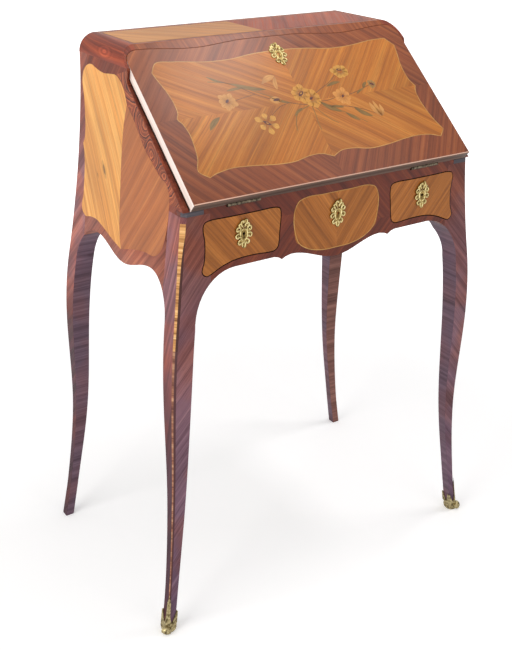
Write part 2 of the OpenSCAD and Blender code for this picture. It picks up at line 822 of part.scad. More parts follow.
module well_floor() {
    floor_z = bed_low_z - well_depth;
    color(oak)
        in_place()
            block([-well_half - well_wall, well_front - well_wall, floor_z - well_wall + 1],
                [well_half + well_wall, well_front + well_len + well_wall, floor_z]);
}

// Large drawers: the box is narrower than the front, whose outer ear laps over the leg
box_in = drawer_in + 6;
box_out = post_x - 3;
box_low = drawer_low + 5;
box_high = drawer_top - 5;
runner_low = box_low - 12;
rail_lap = 6;
stop_y = drawer_front_t + drawer_d + slide_gap;
module drawer_runners() {
    inner_low_x = well_half + well_wall + 0.5;
    color(oak)
        in_place()
            for (s = [0, 1])
                mirror([s, 0, 0]) {
                    along_y(apron_t, back_y)
                        polygon([[inner_low_x, runner_low], [box_in + rail_lap, runner_low],
                            [box_in + rail_lap, box_low - slide_gap],
                            [box_in - slide_gap, box_low - slide_gap],
                            [box_in - slide_gap, box_high - 12], [inner_low_x, box_high - 12]]);
                    block([box_in - slide_gap, stop_y, box_low - slide_gap],
                        [box_in + rail_lap, stop_y + 10, box_low + 10]);
                    along_y(post_w, post_back_y)
                        polygon([[inner_x, runner_low], [box_out - rail_lap, runner_low],
                            [box_out - rail_lap, box_low - slide_gap],
                            [box_out + slide_gap, box_low - slide_gap],
                            [box_out + slide_gap, box_high - 12], [inner_x, box_high - 12]]);
                }
}
plate_z = ledge_z - arch_drop / 2;
module keyhole(depth) {
    rotate([90, 0, 0])
        translate([0, 0, -depth])
            linear_extrude(height = 3 * depth) {
                circle(r = key_r);
                translate([-key_r * 0.45, -key_r * 3])
                    square([key_r * 0.9, key_r * 3]);
            }
}
lock_half = 25;
lock_low = plate_z - 16;
lock_high = box_high - 4;
lock_t = 9;
module drawer_front() {
    difference() {
        intersection() {
            along_y(-case_d, drawer_front_t)
                polygon(drawer_outline);
            front_skin(drawer_front_t, arch_z - lobe_drop, ledge_z);
        }
        translate([drawer_mid, 0, plate_z])
            keyhole(drawer_front_t);
    }
}
module drawer_sides() {
    for (x = [box_in, box_out - drawer_wall])
        block([x, drawer_front_t, box_low], [x + drawer_wall, drawer_front_t + drawer_d, box_high]);
}
module drawer_back() {
    block([box_in + drawer_wall, drawer_front_t + drawer_d - drawer_wall, box_low + drawer_floor + 1],
        [box_out - drawer_wall, drawer_front_t + drawer_d, box_high - 6]);
}
module drawer_bottom() {
    block([box_in + drawer_wall, drawer_front_t, box_low + 1],
        [box_out - drawer_wall, drawer_front_t + drawer_d, box_low + 1 + drawer_floor]);
}
module drawer_lock() {
    difference() {
        block([drawer_mid - lock_half, drawer_front_t, lock_low],
            [drawer_mid + lock_half, drawer_front_t + lock_t, lock_high]);
        block([drawer_mid - lock_bolt_w / 2 - slide_gap, lock_bolt_y - slide_gap, plate_z + 8],
            [drawer_mid + lock_bolt_w / 2 + slide_gap, lock_bolt_y + lock_bolt_t + slide_gap,
             lock_high + 1]);
        translate([drawer_mid, drawer_front_t, plate_z])
            keyhole(lock_t / 3);
    }
}
module drawer_bolt() {
    block([drawer_mid - lock_bolt_w / 2, lock_bolt_y, plate_z + 8 + slide_gap],
        [drawer_mid + lock_bolt_w / 2, lock_bolt_y + lock_bolt_t, drawer_top - 0.6]);
}

// A gilt key plate: a rocaille cartouche of scrolls round a keyhole, pierced between them
module key_plate(thick) {
    s = plate_h / 50;
    linear_extrude(height = thick)
        difference() {
            union() {
                circle(r = 9 * s);
                translate([0, -9 * s])
                    circle(r = 7.5 * s);
                translate([-2 * s, 18 * s])
                    circle(r = 5 * s);
                translate([4 * s, 21.5 * s])
                    circle(r = 3.2 * s);
                translate([1 * s, -21 * s])
                    circle(r = 4 * s);
                for (side = [-1, 1]) {
                    translate([side * 10 * s, 8 * s])
                        circle(r = 5.5 * s);
                    translate([side * 11.5 * s, -3 * s])
                        circle(r = 4.8 * s);
                    translate([side * 7.5 * s, 14.5 * s])
                        circle(r = 4 * s);
                    translate([side * 7.5 * s, -14.5 * s])
                        circle(r = 4.5 * s);
                }
                polygon([[-6 * s, 12 * s], [5 * s, 12 * s], [5 * s, 21 * s], [-4 * s, 20 * s]]);
                polygon([[-6 * s, -10 * s], [6 * s, -10 * s], [3 * s, -22 * s], [-1 * s, -22 * s]]);
            }
            for (side = [-1, 1]) {
                translate([side * 9.5 * s, 8.5 * s])
                    circle(r = 2.2 * s);
                translate([side * 10.5 * s, -3.5 * s])
                    circle(r = 1.8 * s);
                translate([side * 6.5 * s, -14 * s])
                    circle(r = 1.7 * s);
            }
            translate([-1 * s, 17 * s])
                circle(r = 1.8 * s);
            circle(r = key_r);
            translate([-key_r * 0.45, -key_r * 3])
                square([key_r * 0.9, key_r * 3]);
        }
}
plate_lift = 0.2;
module front_key_plate(x) {
    translate([x, -plate_lift - front_out(plate_z - plate_h / 2), plate_z])
        rotate([90, 0, 0])
            key_plate(plate_t);
}

module right_drawer_front() {
    color(tulipwood)
        in_place()
            drawer_front();
}
module right_drawer_sides() {
    color(oak)
        in_place()
            drawer_sides();
}
module right_drawer_back() {
    color(oak)
        in_place()
            drawer_back();
}
module right_drawer_bottom() {
    color(oak)
        in_place()
            drawer_bottom();
}
module right_drawer_lock() {
    color(brass)
        in_place()
            drawer_lock();
}
module right_drawer_bolt() {
    color(brass)
        in_place()
            drawer_bolt();
}
module right_drawer_escutcheon() {
    color(gilt)
        in_place()
            front_key_plate(drawer_mid);
}
module left_drawer_front() {
    color(tulipwood)
        in_place()
            other_side()
                drawer_front();
}
module left_drawer_sides() {
    color(oak)
        in_place()
            other_side()
                drawer_sides();
}
module left_drawer_back() {
    color(oak)
        in_place()
            other_side()
                drawer_back();
}
module left_drawer_bottom() {
    color(oak)
        in_place()
            other_side()
                drawer_bottom();
}
module left_drawer_lock() {
    color(brass)
        in_place()
            other_side()
                drawer_lock();
}
module left_drawer_bolt() {
    color(brass)
        in_place()
            other_side()
                drawer_bolt();
}
module left_drawer_escutcheon() {
    color(gilt)
        in_place()
            front_key_plate(-drawer_mid);
}
module centre_escutcheon() {
    color(gilt)
        in_place()
            front_key_plate(0);
}

// Fall: drawn flat in the slope's own frame
fall_plate_v = fall_top_v - 38;
fall_lock_half = 32;
fall_lock_low = fall_plate_v - 22;
fall_lock_high = fall_top_v - 5;
fall_lock_t = 8;
leather_low = leaf_w + leather_margin / 2;
module fall_panel() {
    color(rosewood)
        in_place()
            on_fall()
                difference() {
                    translate([0, 0, fall_rest])
                        linear_extrude(height = fall_t - fall_rest)
                            polygon(both_halves(fall_half_outline(0)));
                    block([-fall_half + leather_margin, leather_low, -1],
                        [fall_half - leather_margin, fall_lock_low - 4, fall_rest + leather_t]);
                    block([-fall_lock_half, fall_lock_low, -1],
                        [fall_lock_half, fall_lock_high, fall_rest + fall_lock_t]);
                    block([-bolt_w / 2 - slide_gap, fall_lock_high - 1, bolt_n - slide_gap],
                        [bolt_w / 2 + slide_gap, fall_top_v + 1, bolt_n + bolt_t + slide_gap]);
                    translate([0, fall_plate_v, 0])
                        rotate([-90, 0, 0])
                            keyhole(fall_t);
                    for (s = [-1, 1])
                        fall_hinge_recess(s);
                }
}
module fall_leather() {
    color(hide)
        in_place()
            on_fall()
                block([-fall_half + leather_margin, leather_low, fall_rest],
                    [fall_half - leather_margin, fall_lock_low - 4, fall_rest + leather_t]);
}
module fall_lock() {
    color(brass)
        in_place()
            on_fall()
                difference() {
                    block([-fall_lock_half, fall_lock_low, fall_rest],
                        [fall_lock_half, fall_lock_high, fall_rest + fall_lock_t]);
                    block([-bolt_w / 2 - slide_gap, fall_plate_v + 9, bolt_n - slide_gap],
                        [bolt_w / 2 + slide_gap, fall_lock_high + 1, bolt_n + bolt_t + slide_gap]);
                    translate([0, fall_plate_v, fall_lock_t])
                        rotate([-90, 0, 0])
                            keyhole(fall_lock_t / 4);
                }
}
module fall_bolt() {
    color(brass)
        in_place()
            on_fall()
                block([-bolt_w / 2, fall_plate_v + 9 + slide_gap, bolt_n],
                    [bolt_w / 2, fall_top_v - 1, bolt_n + bolt_t]);
}
module fall_escutcheon() {
    color(gilt)
        in_place()
            on_fall()
                translate([0, fall_plate_v, fall_t])
                    key_plate(plate_t);
}

// Butt hinges: five knuckles on a pin along the line where the fall's inner face
// meets the ledge; three belong to the leaf on the case and two to the leaf on the fall
hinge_x = fall_half - hinge_in;
knuckles = 5;
knuckle_gap = 0.15;
knuckle_len = hinge_len / knuckles;
function knuckle_x(s, i) = s * hinge_x - hinge_len / 2 + i * knuckle_len;
module rod(x0, x1, r) {
    translate([x0, 0, 0])
        rotate([0, 90, 0])
            cylinder(r = r, h = x1 - x0);
}
module at_hinge_line() {
    translate([0, -pin_out, ledge_z])
        children();
}
leaf_mid = (knuckle_r + leaf_w) / 2 + 1;
screw_r = 1.4;
screw_head_r = 3;
screw_len = 9;
module leaf_screws(s) {
    for (i = [-1, 0, 1])
        translate([s * hinge_x + i * hinge_len / 3, leaf_mid, 0]) {
            cylinder(r = screw_r, h = screw_len);
            cylinder(r1 = screw_head_r, r2 = screw_r, h = leaf_t);
        }
}
module case_screws(s) {
    at_hinge_line()
        rotate([180, 0, 0])
            mirror([0, 1, 0])
                leaf_screws(s);
}
module fall_screws(s) {
    translate([0, 0, fall_rest])
        leaf_screws(s);
}
module hinge_recess(s) {
    case_screws(s);
    at_hinge_line()
        rod(s * hinge_x - hinge_len / 2 - 0.5, s * hinge_x + hinge_len / 2 + 0.5, knuckle_r + 0.4);
    block([s * hinge_x - hinge_len / 2, -1, ledge_z - leaf_t],
        [s * hinge_x + hinge_len / 2, leaf_w, ledge_z + 1]);
}
module fall_hinge_recess(s) {
    fall_screws(s);
    rod(s * hinge_x - hinge_len / 2 - 0.5, s * hinge_x + hinge_len / 2 + 0.5, knuckle_r + 0.4);
    block([s * hinge_x - hinge_len / 2, 0, -1],
        [s * hinge_x + hinge_len / 2, leaf_w, fall_rest + leaf_t]);
}
module knuckle_row(s, first) {
    for (i = [first : 2 : knuckles - 1])
        rod(knuckle_x(s, i) + knuckle_gap, knuckle_x(s, i + 1) - knuckle_gap, knuckle_r);
}
module hinge_case_leaf(s) {
    at_hinge_line()
        difference() {
            union() {
                knuckle_row(s, 0);
                block([s * hinge_x - hinge_len / 2, knuckle_r + 0.4, -leaf_t],
                    [s * hinge_x + hinge_len / 2, leaf_w + pin_out, 0]);
                for (i = [0 : 2 : knuckles - 1])
                    block([knuckle_x(s, i) + knuckle_gap, 0, -leaf_t],
                        [knuckle_x(s, i + 1) - knuckle_gap, knuckle_r + 1, 0]);
            }
            rod(s * hinge_x - hinge_len, s * hinge_x + hinge_len, pin_r + pin_fit);
            translate([0, pin_out, -ledge_z])
                case_screws(s);
        }
}
module hinge_fall_leaf(s) {
    on_fall()
        difference() {
            union() {
                knuckle_row(s, 1);
                block([s * hinge_x - hinge_len / 2, knuckle_r + 0.4, fall_rest],
                    [s * hinge_x + hinge_len / 2, leaf_w, fall_rest + leaf_t]);
                for (i = [1 : 2 : knuckles - 1])
                    block([knuckle_x(s, i) + knuckle_gap, 0, fall_rest],
                        [knuckle_x(s, i + 1) - knuckle_gap, knuckle_r + 1, fall_rest + leaf_t]);
            }
            rod(s * hinge_x - hinge_len, s * hinge_x + hinge_len, pin_r + pin_fit);
            fall_screws(s);
        }
}
module hinge_pin(s) {
    at_hinge_line()
        rod(s * hinge_x - hinge_len / 2, s * hinge_x + hinge_len / 2, pin_r);
}
module left_hinge_case_leaf() {
    color(brass)
        in_place()
            hinge_case_leaf(-1);
}
module left_hinge_fall_leaf() {
    color(brass)
        in_place()
            hinge_fall_leaf(-1);
}
module left_hinge_pin() {
    color(brass)
        in_place()
            hinge_pin(-1);
}
module right_hinge_case_leaf() {
    color(brass)
        in_place()
            hinge_case_leaf(1);
}
module right_hinge_fall_leaf() {
    color(brass)
        in_place()
            hinge_fall_leaf(1);
}
module right_hinge_pin() {
    color(brass)
        in_place()
            hinge_pin(1);
}

module case_hinge_screws() {
    color(brass)
        in_place()
            for (s = [-1, 1])
                case_screws(s);
}
module fall_hinge_screws() {
    color(brass)
        in_place()
            on_fall()
                for (s = [-1, 1])
                    fall_screws(s);
}

// Pigeonholes: a base on the writing bed, four uprights, shelves, and three small drawers
nest_half = inner_x - 1;
base_z = ledge_z + nest_t;
inner_shelf_z = base_z + inner_h;
mid_shelf_z = base_z + inner_mid_h;
high_shelf_z = mid_shelf_z + nest_t + slot_h;
// An upright with its front edge cut back in an ogee above the drawers
module upright(x, top, end_y) {
    steps = 8;
    along_x(x, x + nest_t)
        polygon(concat([[nest_front, base_z], [nest_front, inner_shelf_z + nest_t]],
            [for (i = [1 : steps]) let (t = i / steps)
                [nest_front + 34 * (1 - cos(180 * t)) / 2 - 6 * sin(360 * t),
                 inner_shelf_z + nest_t + (top - inner_shelf_z - nest_t) * t]],
            [[end_y, top], [end_y, base_z]]));
}
module nest_dividers() {
    end_top = shoulder_z - 2;
    mid_top = case_h - board_t;
    color(rosewood)
        in_place() {
            upright(-nest_half, end_top, post_back_y);
            upright(-bay_half, mid_top, back_y);
            upright(bay_half - nest_t, mid_top, back_y);
            upright(nest_half - nest_t, end_top, post_back_y);
        }
}
module nest_shelves() {
    color(rosewood)
        in_place()
            difference() {
                union() {
                    block([-nest_half, nest_front, ledge_z], [nest_half, back_y, base_z]);
                    for (s = [0, 1])
                        mirror([s, 0, 0])
                            block([bay_half, nest_front, inner_shelf_z],
                                [nest_half - nest_t, back_y, inner_shelf_z + nest_t]);
                    block([-bay_half + nest_t, nest_front, mid_shelf_z],
                        [bay_half - nest_t, back_y, mid_shelf_z + nest_t]);
                    block([-bay_half + nest_t, nest_front + 20, high_shelf_z],
                        [bay_half - nest_t, back_y, high_shelf_z + nest_t]);
                }
                for (s = [0, 1])
                    mirror([s, 0, 0])
                        back_post_notch();
            }
}
inner_gap = 0.6;
module small_front(x0, x1, top) {
    block([x0 + inner_gap, nest_front + 1, base_z + slide_gap],
        [x1 - inner_gap, nest_front + 1 + inner_front_t, top - inner_gap]);
}
module small_tray(x0, x1, top) {
    y0 = nest_front + 1 + inner_front_t;
    y1 = post_back_y - 4;
    low = base_z + slide_gap;
    high = top - 3;
    left = x0 + inner_gap + 0.6;
    right = x1 - inner_gap - 0.6;
    block([left, y0, low], [left + inner_wall, y1, high]);
    block([right - inner_wall, y0, low], [right, y1, high]);
    block([left + inner_wall, y1 - inner_wall, low + 3], [right - inner_wall, y1, high]);
    block([left + inner_wall, y0, low], [right - inner_wall, y1, low + 3]);
}
module small_knob(x, z) {
    translate([x, nest_front + 1, z])
        rotate([90, 0, 0])
            rotate_extrude()
                polygon([[0, 0], [knob_r * 0.75, 0], [knob_r * 0.7, 1], [knob_r * 0.35, 2.2],
                    [knob_r * 0.35, 5], [knob_r * 0.9, 7], [knob_r, 9], [knob_r * 0.8, 11], [0, 12]]);
}
small_mid_x = (bay_half + nest_half - nest_t) / 2;
small_knob_z = base_z + inner_h / 2;
mid_knob_z = base_z + inner_mid_h / 2;
module right_inner_drawer_front() {
    color(tulipwood)
        in_place()
            small_front(bay_half, nest_half - nest_t, inner_shelf_z);
}
module right_inner_drawer_tray() {
    color(oak)
        in_place()
            small_tray(bay_half, nest_half - nest_t, inner_shelf_z);
}
module right_inner_drawer_knob() {
    color(gilt)
        in_place()
            small_knob(small_mid_x, small_knob_z);
}
module left_inner_drawer_front() {
    color(tulipwood)
        in_place()
            other_side()
                small_front(bay_half, nest_half - nest_t, inner_shelf_z);
}
module left_inner_drawer_tray() {
    color(oak)
        in_place()
            other_side()
                small_tray(bay_half, nest_half - nest_t, inner_shelf_z);
}
module left_inner_drawer_knob() {
    color(gilt)
        in_place()
            small_knob(-small_mid_x, small_knob_z);
}
module centre_inner_drawer_front() {
    color(tulipwood)
        in_place()
            small_front(-bay_half + nest_t, bay_half - nest_t, mid_shelf_z);
}
module centre_inner_drawer_tray() {
    color(oak)
        in_place()
            small_tray(-bay_half + nest_t, bay_half - nest_t, mid_shelf_z);
}
module centre_inner_drawer_knob() {
    color(gilt)
        in_place()
            small_knob(0, mid_knob_z);
}

front_left_leg();
front_right_leg();
rear_left_leg();
rear_right_leg();
left_sabot();
right_sabot();
left_side_panel();
right_side_panel();
left_shoulder();
right_shoulder();
top_board();
back_panel();
front_apron();
centre_veneer_panel();
ledge_ends();
writing_bed();
well_cover();
well_walls();
well_floor();
drawer_runners();
left_drawer_front();
left_drawer_sides();
left_drawer_back();
left_drawer_bottom();
left_drawer_lock();
left_drawer_bolt();
left_drawer_escutcheon();
right_drawer_front();
right_drawer_sides();
right_drawer_back();
right_drawer_bottom();
right_drawer_lock();
right_drawer_bolt();
right_drawer_escutcheon();
centre_escutcheon();
fall_panel();
fall_leather();
fall_lock();
fall_bolt();
fall_escutcheon();
fall_lock_keeper();
left_hinge_case_leaf();
left_hinge_fall_leaf();
left_hinge_pin();
right_hinge_case_leaf();
right_hinge_fall_leaf();
right_hinge_pin();
case_hinge_screws();
fall_hinge_screws();
nest_dividers();
nest_shelves();
left_inner_drawer_front();
left_inner_drawer_tray();
left_inner_drawer_knob();
right_inner_drawer_front();
right_inner_drawer_tray();
right_inner_drawer_knob();
centre_inner_drawer_front();
centre_inner_drawer_tray();
centre_inner_drawer_knob();
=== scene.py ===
# %% [markdown]
# # A veneered writing desk in Blender
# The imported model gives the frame: every board, leg, hinge and lock in its place and size, each on
# the body that it moves with. This lesson dresses that frame. Carcass boards keep their solids and
# get timber, the show surfaces get veneer laid piece by piece, and the castings get modelled relief.

import contextlib
import json
import math

import bmesh
import bpy
import numpy as np
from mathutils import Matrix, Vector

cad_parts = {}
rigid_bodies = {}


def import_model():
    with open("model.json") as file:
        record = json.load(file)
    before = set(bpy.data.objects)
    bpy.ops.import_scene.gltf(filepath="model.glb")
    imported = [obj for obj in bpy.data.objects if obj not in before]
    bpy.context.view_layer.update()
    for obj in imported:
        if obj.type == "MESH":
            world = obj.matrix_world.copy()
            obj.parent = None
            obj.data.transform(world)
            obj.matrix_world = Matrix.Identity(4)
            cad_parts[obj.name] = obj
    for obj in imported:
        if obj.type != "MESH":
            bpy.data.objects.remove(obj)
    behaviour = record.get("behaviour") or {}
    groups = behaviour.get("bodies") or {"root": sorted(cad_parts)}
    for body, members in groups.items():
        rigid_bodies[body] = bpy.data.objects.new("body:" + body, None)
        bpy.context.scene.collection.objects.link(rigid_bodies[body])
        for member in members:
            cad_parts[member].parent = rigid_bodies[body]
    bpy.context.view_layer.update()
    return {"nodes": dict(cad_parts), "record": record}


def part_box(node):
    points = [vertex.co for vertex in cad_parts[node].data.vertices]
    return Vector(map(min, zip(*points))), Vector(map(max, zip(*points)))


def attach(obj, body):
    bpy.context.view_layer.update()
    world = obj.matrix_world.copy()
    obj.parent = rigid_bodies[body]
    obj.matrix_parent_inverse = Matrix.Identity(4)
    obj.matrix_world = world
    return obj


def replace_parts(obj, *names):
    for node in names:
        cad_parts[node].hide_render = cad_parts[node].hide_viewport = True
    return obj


for thing in list(bpy.data.objects):
    bpy.data.objects.remove(thing)
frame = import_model()
MM = 0.001
SIDES = ((-1, "left"), (1, "right"))
home = {node: body for body, nodes in frame["record"]["behaviour"]["bodies"].items() for node in nodes}
wood_slot = {entry["node"]: entry["material_slot"] for entry in frame["record"]["subparts"]}

# %% [markdown]
# The construction lines of the desk are needed again here, because veneer follows them: how far the
# sides, the fronts and the slope of the case stand out at each height. They are smooth curves through
# a few stations, as the maker would draw them with a bent lath. They are measured from the case's own
# front face, and front_y places that face in the frame.

# %% Lines of the case
front_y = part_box("front_apron")[1][1] - 20 * MM
half_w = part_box("top_board")[1][0] + 30 * MM
case_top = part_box("top_board")[1][2]
ledge_z = 737 * MM
slope = math.radians(41.3)
fall_t = 17 * MM
pin_out = 0.6 * MM
upper_side = [[239, 30], [450, 31.5], [520, 28], [600, 19], [737, 6], [878, 0], [948, 0]]
side_line = [[0, 52], [80, 41]] + upper_side
front_line = [[0, 18], [80, 12], [239, 5], [450, 11.5], [530, 10], [620, 3.5], [700, 0], [948, 0]]


def lath(stations, z):
    """A smooth curve through stations [height, value] in millimetres: on each stretch a cubic whose
    end slopes are the mean slopes of the stretches that meet there. z and the result are metres."""
    s = np.array(stations, float)
    height = np.clip(np.asarray(z, float) / MM, s[0, 0], s[-1, 0])
    i = np.clip(np.searchsorted(s[:, 0], height, side="right") - 1, 0, len(s) - 2)
    rise = np.diff(s[:, 1]) / np.diff(s[:, 0])
    ends = np.concatenate([rise[:1], (rise[:-1] + rise[1:]) / 2, rise[-1:]])
    h = s[i + 1, 0] - s[i, 0]
    t = (height - s[i, 0]) / h
    value = (2 * t**3 - 3 * t**2 + 1) * s[i, 1] + (t**3 - 2 * t**2 + t) * h * ends[i]
    value += (3 * t**2 - 2 * t**3) * s[i + 1, 1] + (t**3 - t**2) * h * ends[i + 1]
    return value * MM


def side_out(z):
    """Distance of the side's outer face from the middle of the desk at height z."""
    return half_w + lath(side_line, z)


print("case front at y = %.4f m, half width %.3f m, top at %.3f m" % (front_y, half_w, case_top))

# %% [markdown]
# Each show surface is reached through a chart: a pair of flat coordinates and a distance in front of
# the surface give a point in the frame. Veneer is then drawn flat, as a marquetry cutter draws it, and
# laid on the chart. For each chart another function leads back from points to the drawing.


# %% Charts of the show surfaces
def on_front(x, z, lift):
    """Front of the case: x across, z up, standing out by the front line."""
    return np.stack([x, front_y - lath(front_line, z) - lift, z], axis=-1)


def on_side(sign):
    """Side of the case (sign -1 left, +1 right): first coordinate is the depth behind the front face."""
    return lambda y, z, lift: np.stack([sign * (side_out(z) + lift), front_y + y, z + 0 * lift], axis=-1)


def on_slope(x, v, n):
    """Points of the closed fall: x across, v up the slope from the hinge line, n out from its inner face."""
    y = front_y - pin_out + v * math.cos(slope) - n * math.sin(slope)
    return np.stack(np.broadcast_arrays(x, y, ledge_z + v * math.sin(slope) + n * math.cos(slope)), axis=-1)


def on_fall(u, v, lift):
    """Outer face of the closed fall: u across, v up the slope from the hinge line."""
    return on_slope(u, v, fall_t + lift)


def on_top(x, y, lift):
    """Top board: x across, y behind the front face, a little below the top of the solid."""
    return np.stack([x, front_y + y, case_top - 0.2 * MM + lift + 0 * x], axis=-1)


def unfold_front(point):
    """Flat coordinates of points of the front."""
    return point[:, [0, 2]]


def unfold_side(point):
    """Flat coordinates of points of a side."""
    return np.stack([point[:, 1] - front_y, point[:, 2]], axis=-1)


def unfold_fall(point):
    """Flat coordinates of points of the closed fall."""
    y, z = point[:, 1] - front_y + pin_out, point[:, 2] - ledge_z
    return np.stack([point[:, 0], y * math.cos(slope) + z * math.sin(slope)], axis=-1)


def unfold_top(point):
    """Flat coordinates of points of the top."""
    return np.stack([point[:, 0], point[:, 1] - front_y], axis=-1)


print("slope runs from", on_fall(0.0, 0.0, 0.0).round(4), "to", on_fall(0.0, 0.299, 0.0).round(4))

# %% [markdown]
# The camera stands where the photographer stood: in front of the desk and to its left, a little above
# the top. Its place and its lens were worked out from the straight edges of the case, and the small
# shift is the photograph's own framing.

# %% Camera
lens_px, centre_px, image_px = 1011.4, (216.7, 242.6), (512, 650)
yaw, pitch, roll = 0.568, -0.368, 0.009
stand = (-0.998, front_y - 1.2015, 1.2295)
ahead = np.array([math.sin(yaw) * math.cos(pitch), math.cos(yaw) * math.cos(pitch), math.sin(pitch)])
level = np.array([math.cos(yaw), -math.sin(yaw), 0.0])
upright = np.cross(level, ahead)
right = math.cos(roll) * level + math.sin(roll) * upright
above = -math.sin(roll) * level + math.cos(roll) * upright

eye = bpy.data.cameras.new("eye")
eye.sensor_fit = "AUTO"
eye.sensor_width = 36
eye.lens = 36 * lens_px / image_px[1]
eye.shift_x = (image_px[0] / 2 - centre_px[0]) / image_px[1]
eye.shift_y = (centre_px[1] - image_px[1] / 2) / image_px[1]
camera = bpy.data.objects.new("eye", eye)
bpy.context.scene.collection.objects.link(camera)
turn = np.eye(4)
turn[:3, 0], turn[:3, 1], turn[:3, 2], turn[:3, 3] = right, above, -ahead, stand
camera.matrix_world = turn.T.tolist()
bpy.context.scene.camera = camera
print("lens %.1f mm, shift %.3f, %.3f" % (eye.lens, eye.shift_x, eye.shift_y))

# %% [markdown]
# Every finish, the room and the floor are node trees, and they use the same dozen nodes. A small class
# gives these short names, so that a finish below reads as the recipe that it is.


# %% Node helper
def linear(red, green, blue):
    """A colour as the eye reads it, 0 to 255, turned into the light values that the shader adds up."""
    c = np.array([red, green, blue]) / 255.0
    return tuple(np.where(c <= 0.04045, c / 12.92, ((c + 0.055) / 1.055) ** 2.4)) + (1.0,)


class Nodes:
    """The node tree of a material or a world. A value is a constant or the output of another node."""

    def __init__(self, name, kind=bpy.data.materials):
        self.owner = kind.new(name)
        self.owner.use_nodes = True
        self.tree = self.owner.node_tree

    def fill(self, node, values):
        """Sets or links the inputs of a node, which may be given by its name."""
        node = self.tree.nodes[node] if isinstance(node, str) else node
        for key, value in dict(values).items():
            if isinstance(value, bpy.types.NodeSocket):
                self.tree.links.new(value, node.inputs[key])
            else:
                node.inputs[key].default_value = value

    def add(self, kind, values=(), out=0, **settings):
        """A new node with its settings and inputs; gives one of its outputs."""
        node = self.tree.nodes.new("ShaderNode" + kind)
        for key, value in settings.items():
            setattr(node, key, value)
        self.fill(node, values)
        return node.outputs[out]

    def math(self, operation, *values):
        """A sum or another operation on numbers."""
        return self.add("Math", dict(enumerate(values)), operation=operation)

    def vector(self, operation, *values, out=0):
        """An operation on vectors."""
        return self.add("VectorMath", dict(enumerate(values)), out, operation=operation)

    def scaled(self, vector, factor):
        """A vector or colour times a number."""
        return self.add("VectorMath", {0: vector, "Scale": factor}, operation="SCALE")

    def noise(self, vector, detail=2.0, scale=1.0, **more):
        """Smooth noise about 0.5."""
        return self.add("TexNoise", {"Vector": vector, "Scale": scale, "Detail": detail, **more})

    def span(self, value, low, high, start=0.0, end=1.0, **settings):
        """A value that goes from start to end while the given one goes from low to high."""
        names = ("Value", "From Min", "From Max", "To Min", "To Max")
        return self.add("MapRange", zip(names, (value, low, high, start, end)), **settings)

    def ramp(self, value, stops):
        """Colours that change with a value. Each stop is a value and a colour: lowest, highest, then the rest."""
        node = self.tree.nodes.new("ShaderNodeValToRGB")
        elements = node.color_ramp.elements
        for number, (at, colour) in enumerate(stops):
            stop = elements[number] if number < 2 else elements.new(at)
            stop.position, stop.color = at, colour
        self.fill(node, {0: value})
        return node.outputs[0]

    def tones(self, value, *stops):
        """The same with colours as the eye reads them."""
        return self.ramp(value, [(at, linear(*colour)) for at, colour in stops])

    def blend(self, share, one, other):
        """One colour where share is 0 and the other where it is 1."""
        return self.add("MixRGB", {"Fac": share, "Color1": one, "Color2": other})

    def stretched(self, grain, along, across, offset=0.0, third=7.3):
        """Wood coordinates scaled so that noise lies in streaks: cycles per metre along and across."""
        shift = self.vector("MULTIPLY", grain, (along, across, third))
        return self.vector("ADD", shift, (offset, offset * 1.7, offset * 0.6))

    def place(self):
        """Object coordinates, which stay with the piece."""
        return self.add("TexCoord", out="Object")

    def own(self, name, out):
        """An attribute of the piece's own mesh."""
        return self.add("Attribute", out=out, attribute_name=name)

    def bump(self, height, strength, distance):
        """The normal of a surface with small heights."""
        return self.add("Bump", {"Height": height, "Strength": strength, "Distance": distance})

    def background_rays(self):
        """One for the rays that show the background: from the camera, by way of metal or through glass."""
        seen, mirrored, through = (self.add("LightPath", out="Is %s Ray" % kind)
                                   for kind in ("Camera", "Glossy", "Transmission"))
        return self.math("MAXIMUM", self.math("MAXIMUM", seen, mirrored), through)

    def shader(self, colour, rough, coat=None, normal=None, **more):
        """Sets colour, roughness, polish as weight and roughness, and normal; gives the finished material."""
        more.update({"Base Color": colour, "Roughness": rough})
        if coat:
            more.update({"Specular IOR Level": 0.1, "Coat Weight": coat[0], "Coat Roughness": coat[1]})
        if normal is not None:
            more["Normal"] = normal
        self.fill("Principled BSDF", more)
        return self.owner


print("node helper ready")

# %% [markdown]
# The studio is a pale floor that runs out of sight, a bright room all round, and soft lamps: a large
# one on the left that lights the side of the desk, two small ones high on the right whose reflections
# lie on the polished slope, and a weak one in front. Polish only looks like polish when it has
# something soft to reflect.


# %% Studio
def soft_lamp(name, place, aim, width, height, watts, tint=(1, 1, 1)):
    """A rectangular lamp at place, turned so that it shines at aim."""
    lamp = bpy.data.lights.new(name, "AREA")
    lamp.shape = "RECTANGLE"
    lamp.size, lamp.size_y = width, height
    lamp.energy = watts
    lamp.color = tint
    thing = bpy.data.objects.new(name, lamp)
    bpy.context.scene.collection.objects.link(thing)
    away = np.array(place, float) - np.array(aim, float)
    away /= np.linalg.norm(away)
    side = np.cross([0, 0, 1.0], away)
    side /= np.linalg.norm(side)
    m = np.eye(4)
    m[:3, 0], m[:3, 1], m[:3, 2], m[:3, 3] = side, np.cross(away, side), away, place
    thing.matrix_world = m.T.tolist()


soft_lamp("left_window", (-2.6, -0.5, 1.5), (0, 0, 0.6), 1.8, 1.8, 41, (1.0, 0.98, 0.95))
soft_lamp("high_window", (1.1, -0.15, 2.9), (-0.12, -0.02, 0.9), 0.5, 0.4, 13, (1.0, 0.97, 0.96))
soft_lamp("low_window", (1.5, -0.66, 2.6), (0.0, -0.17, 0.76), 0.3, 0.4, 2.0, (1.0, 0.95, 0.95))
soft_lamp("front_fill", (0.2, -3.2, 1.5), (0, 0, 0.5), 2.0, 1.6, 13)

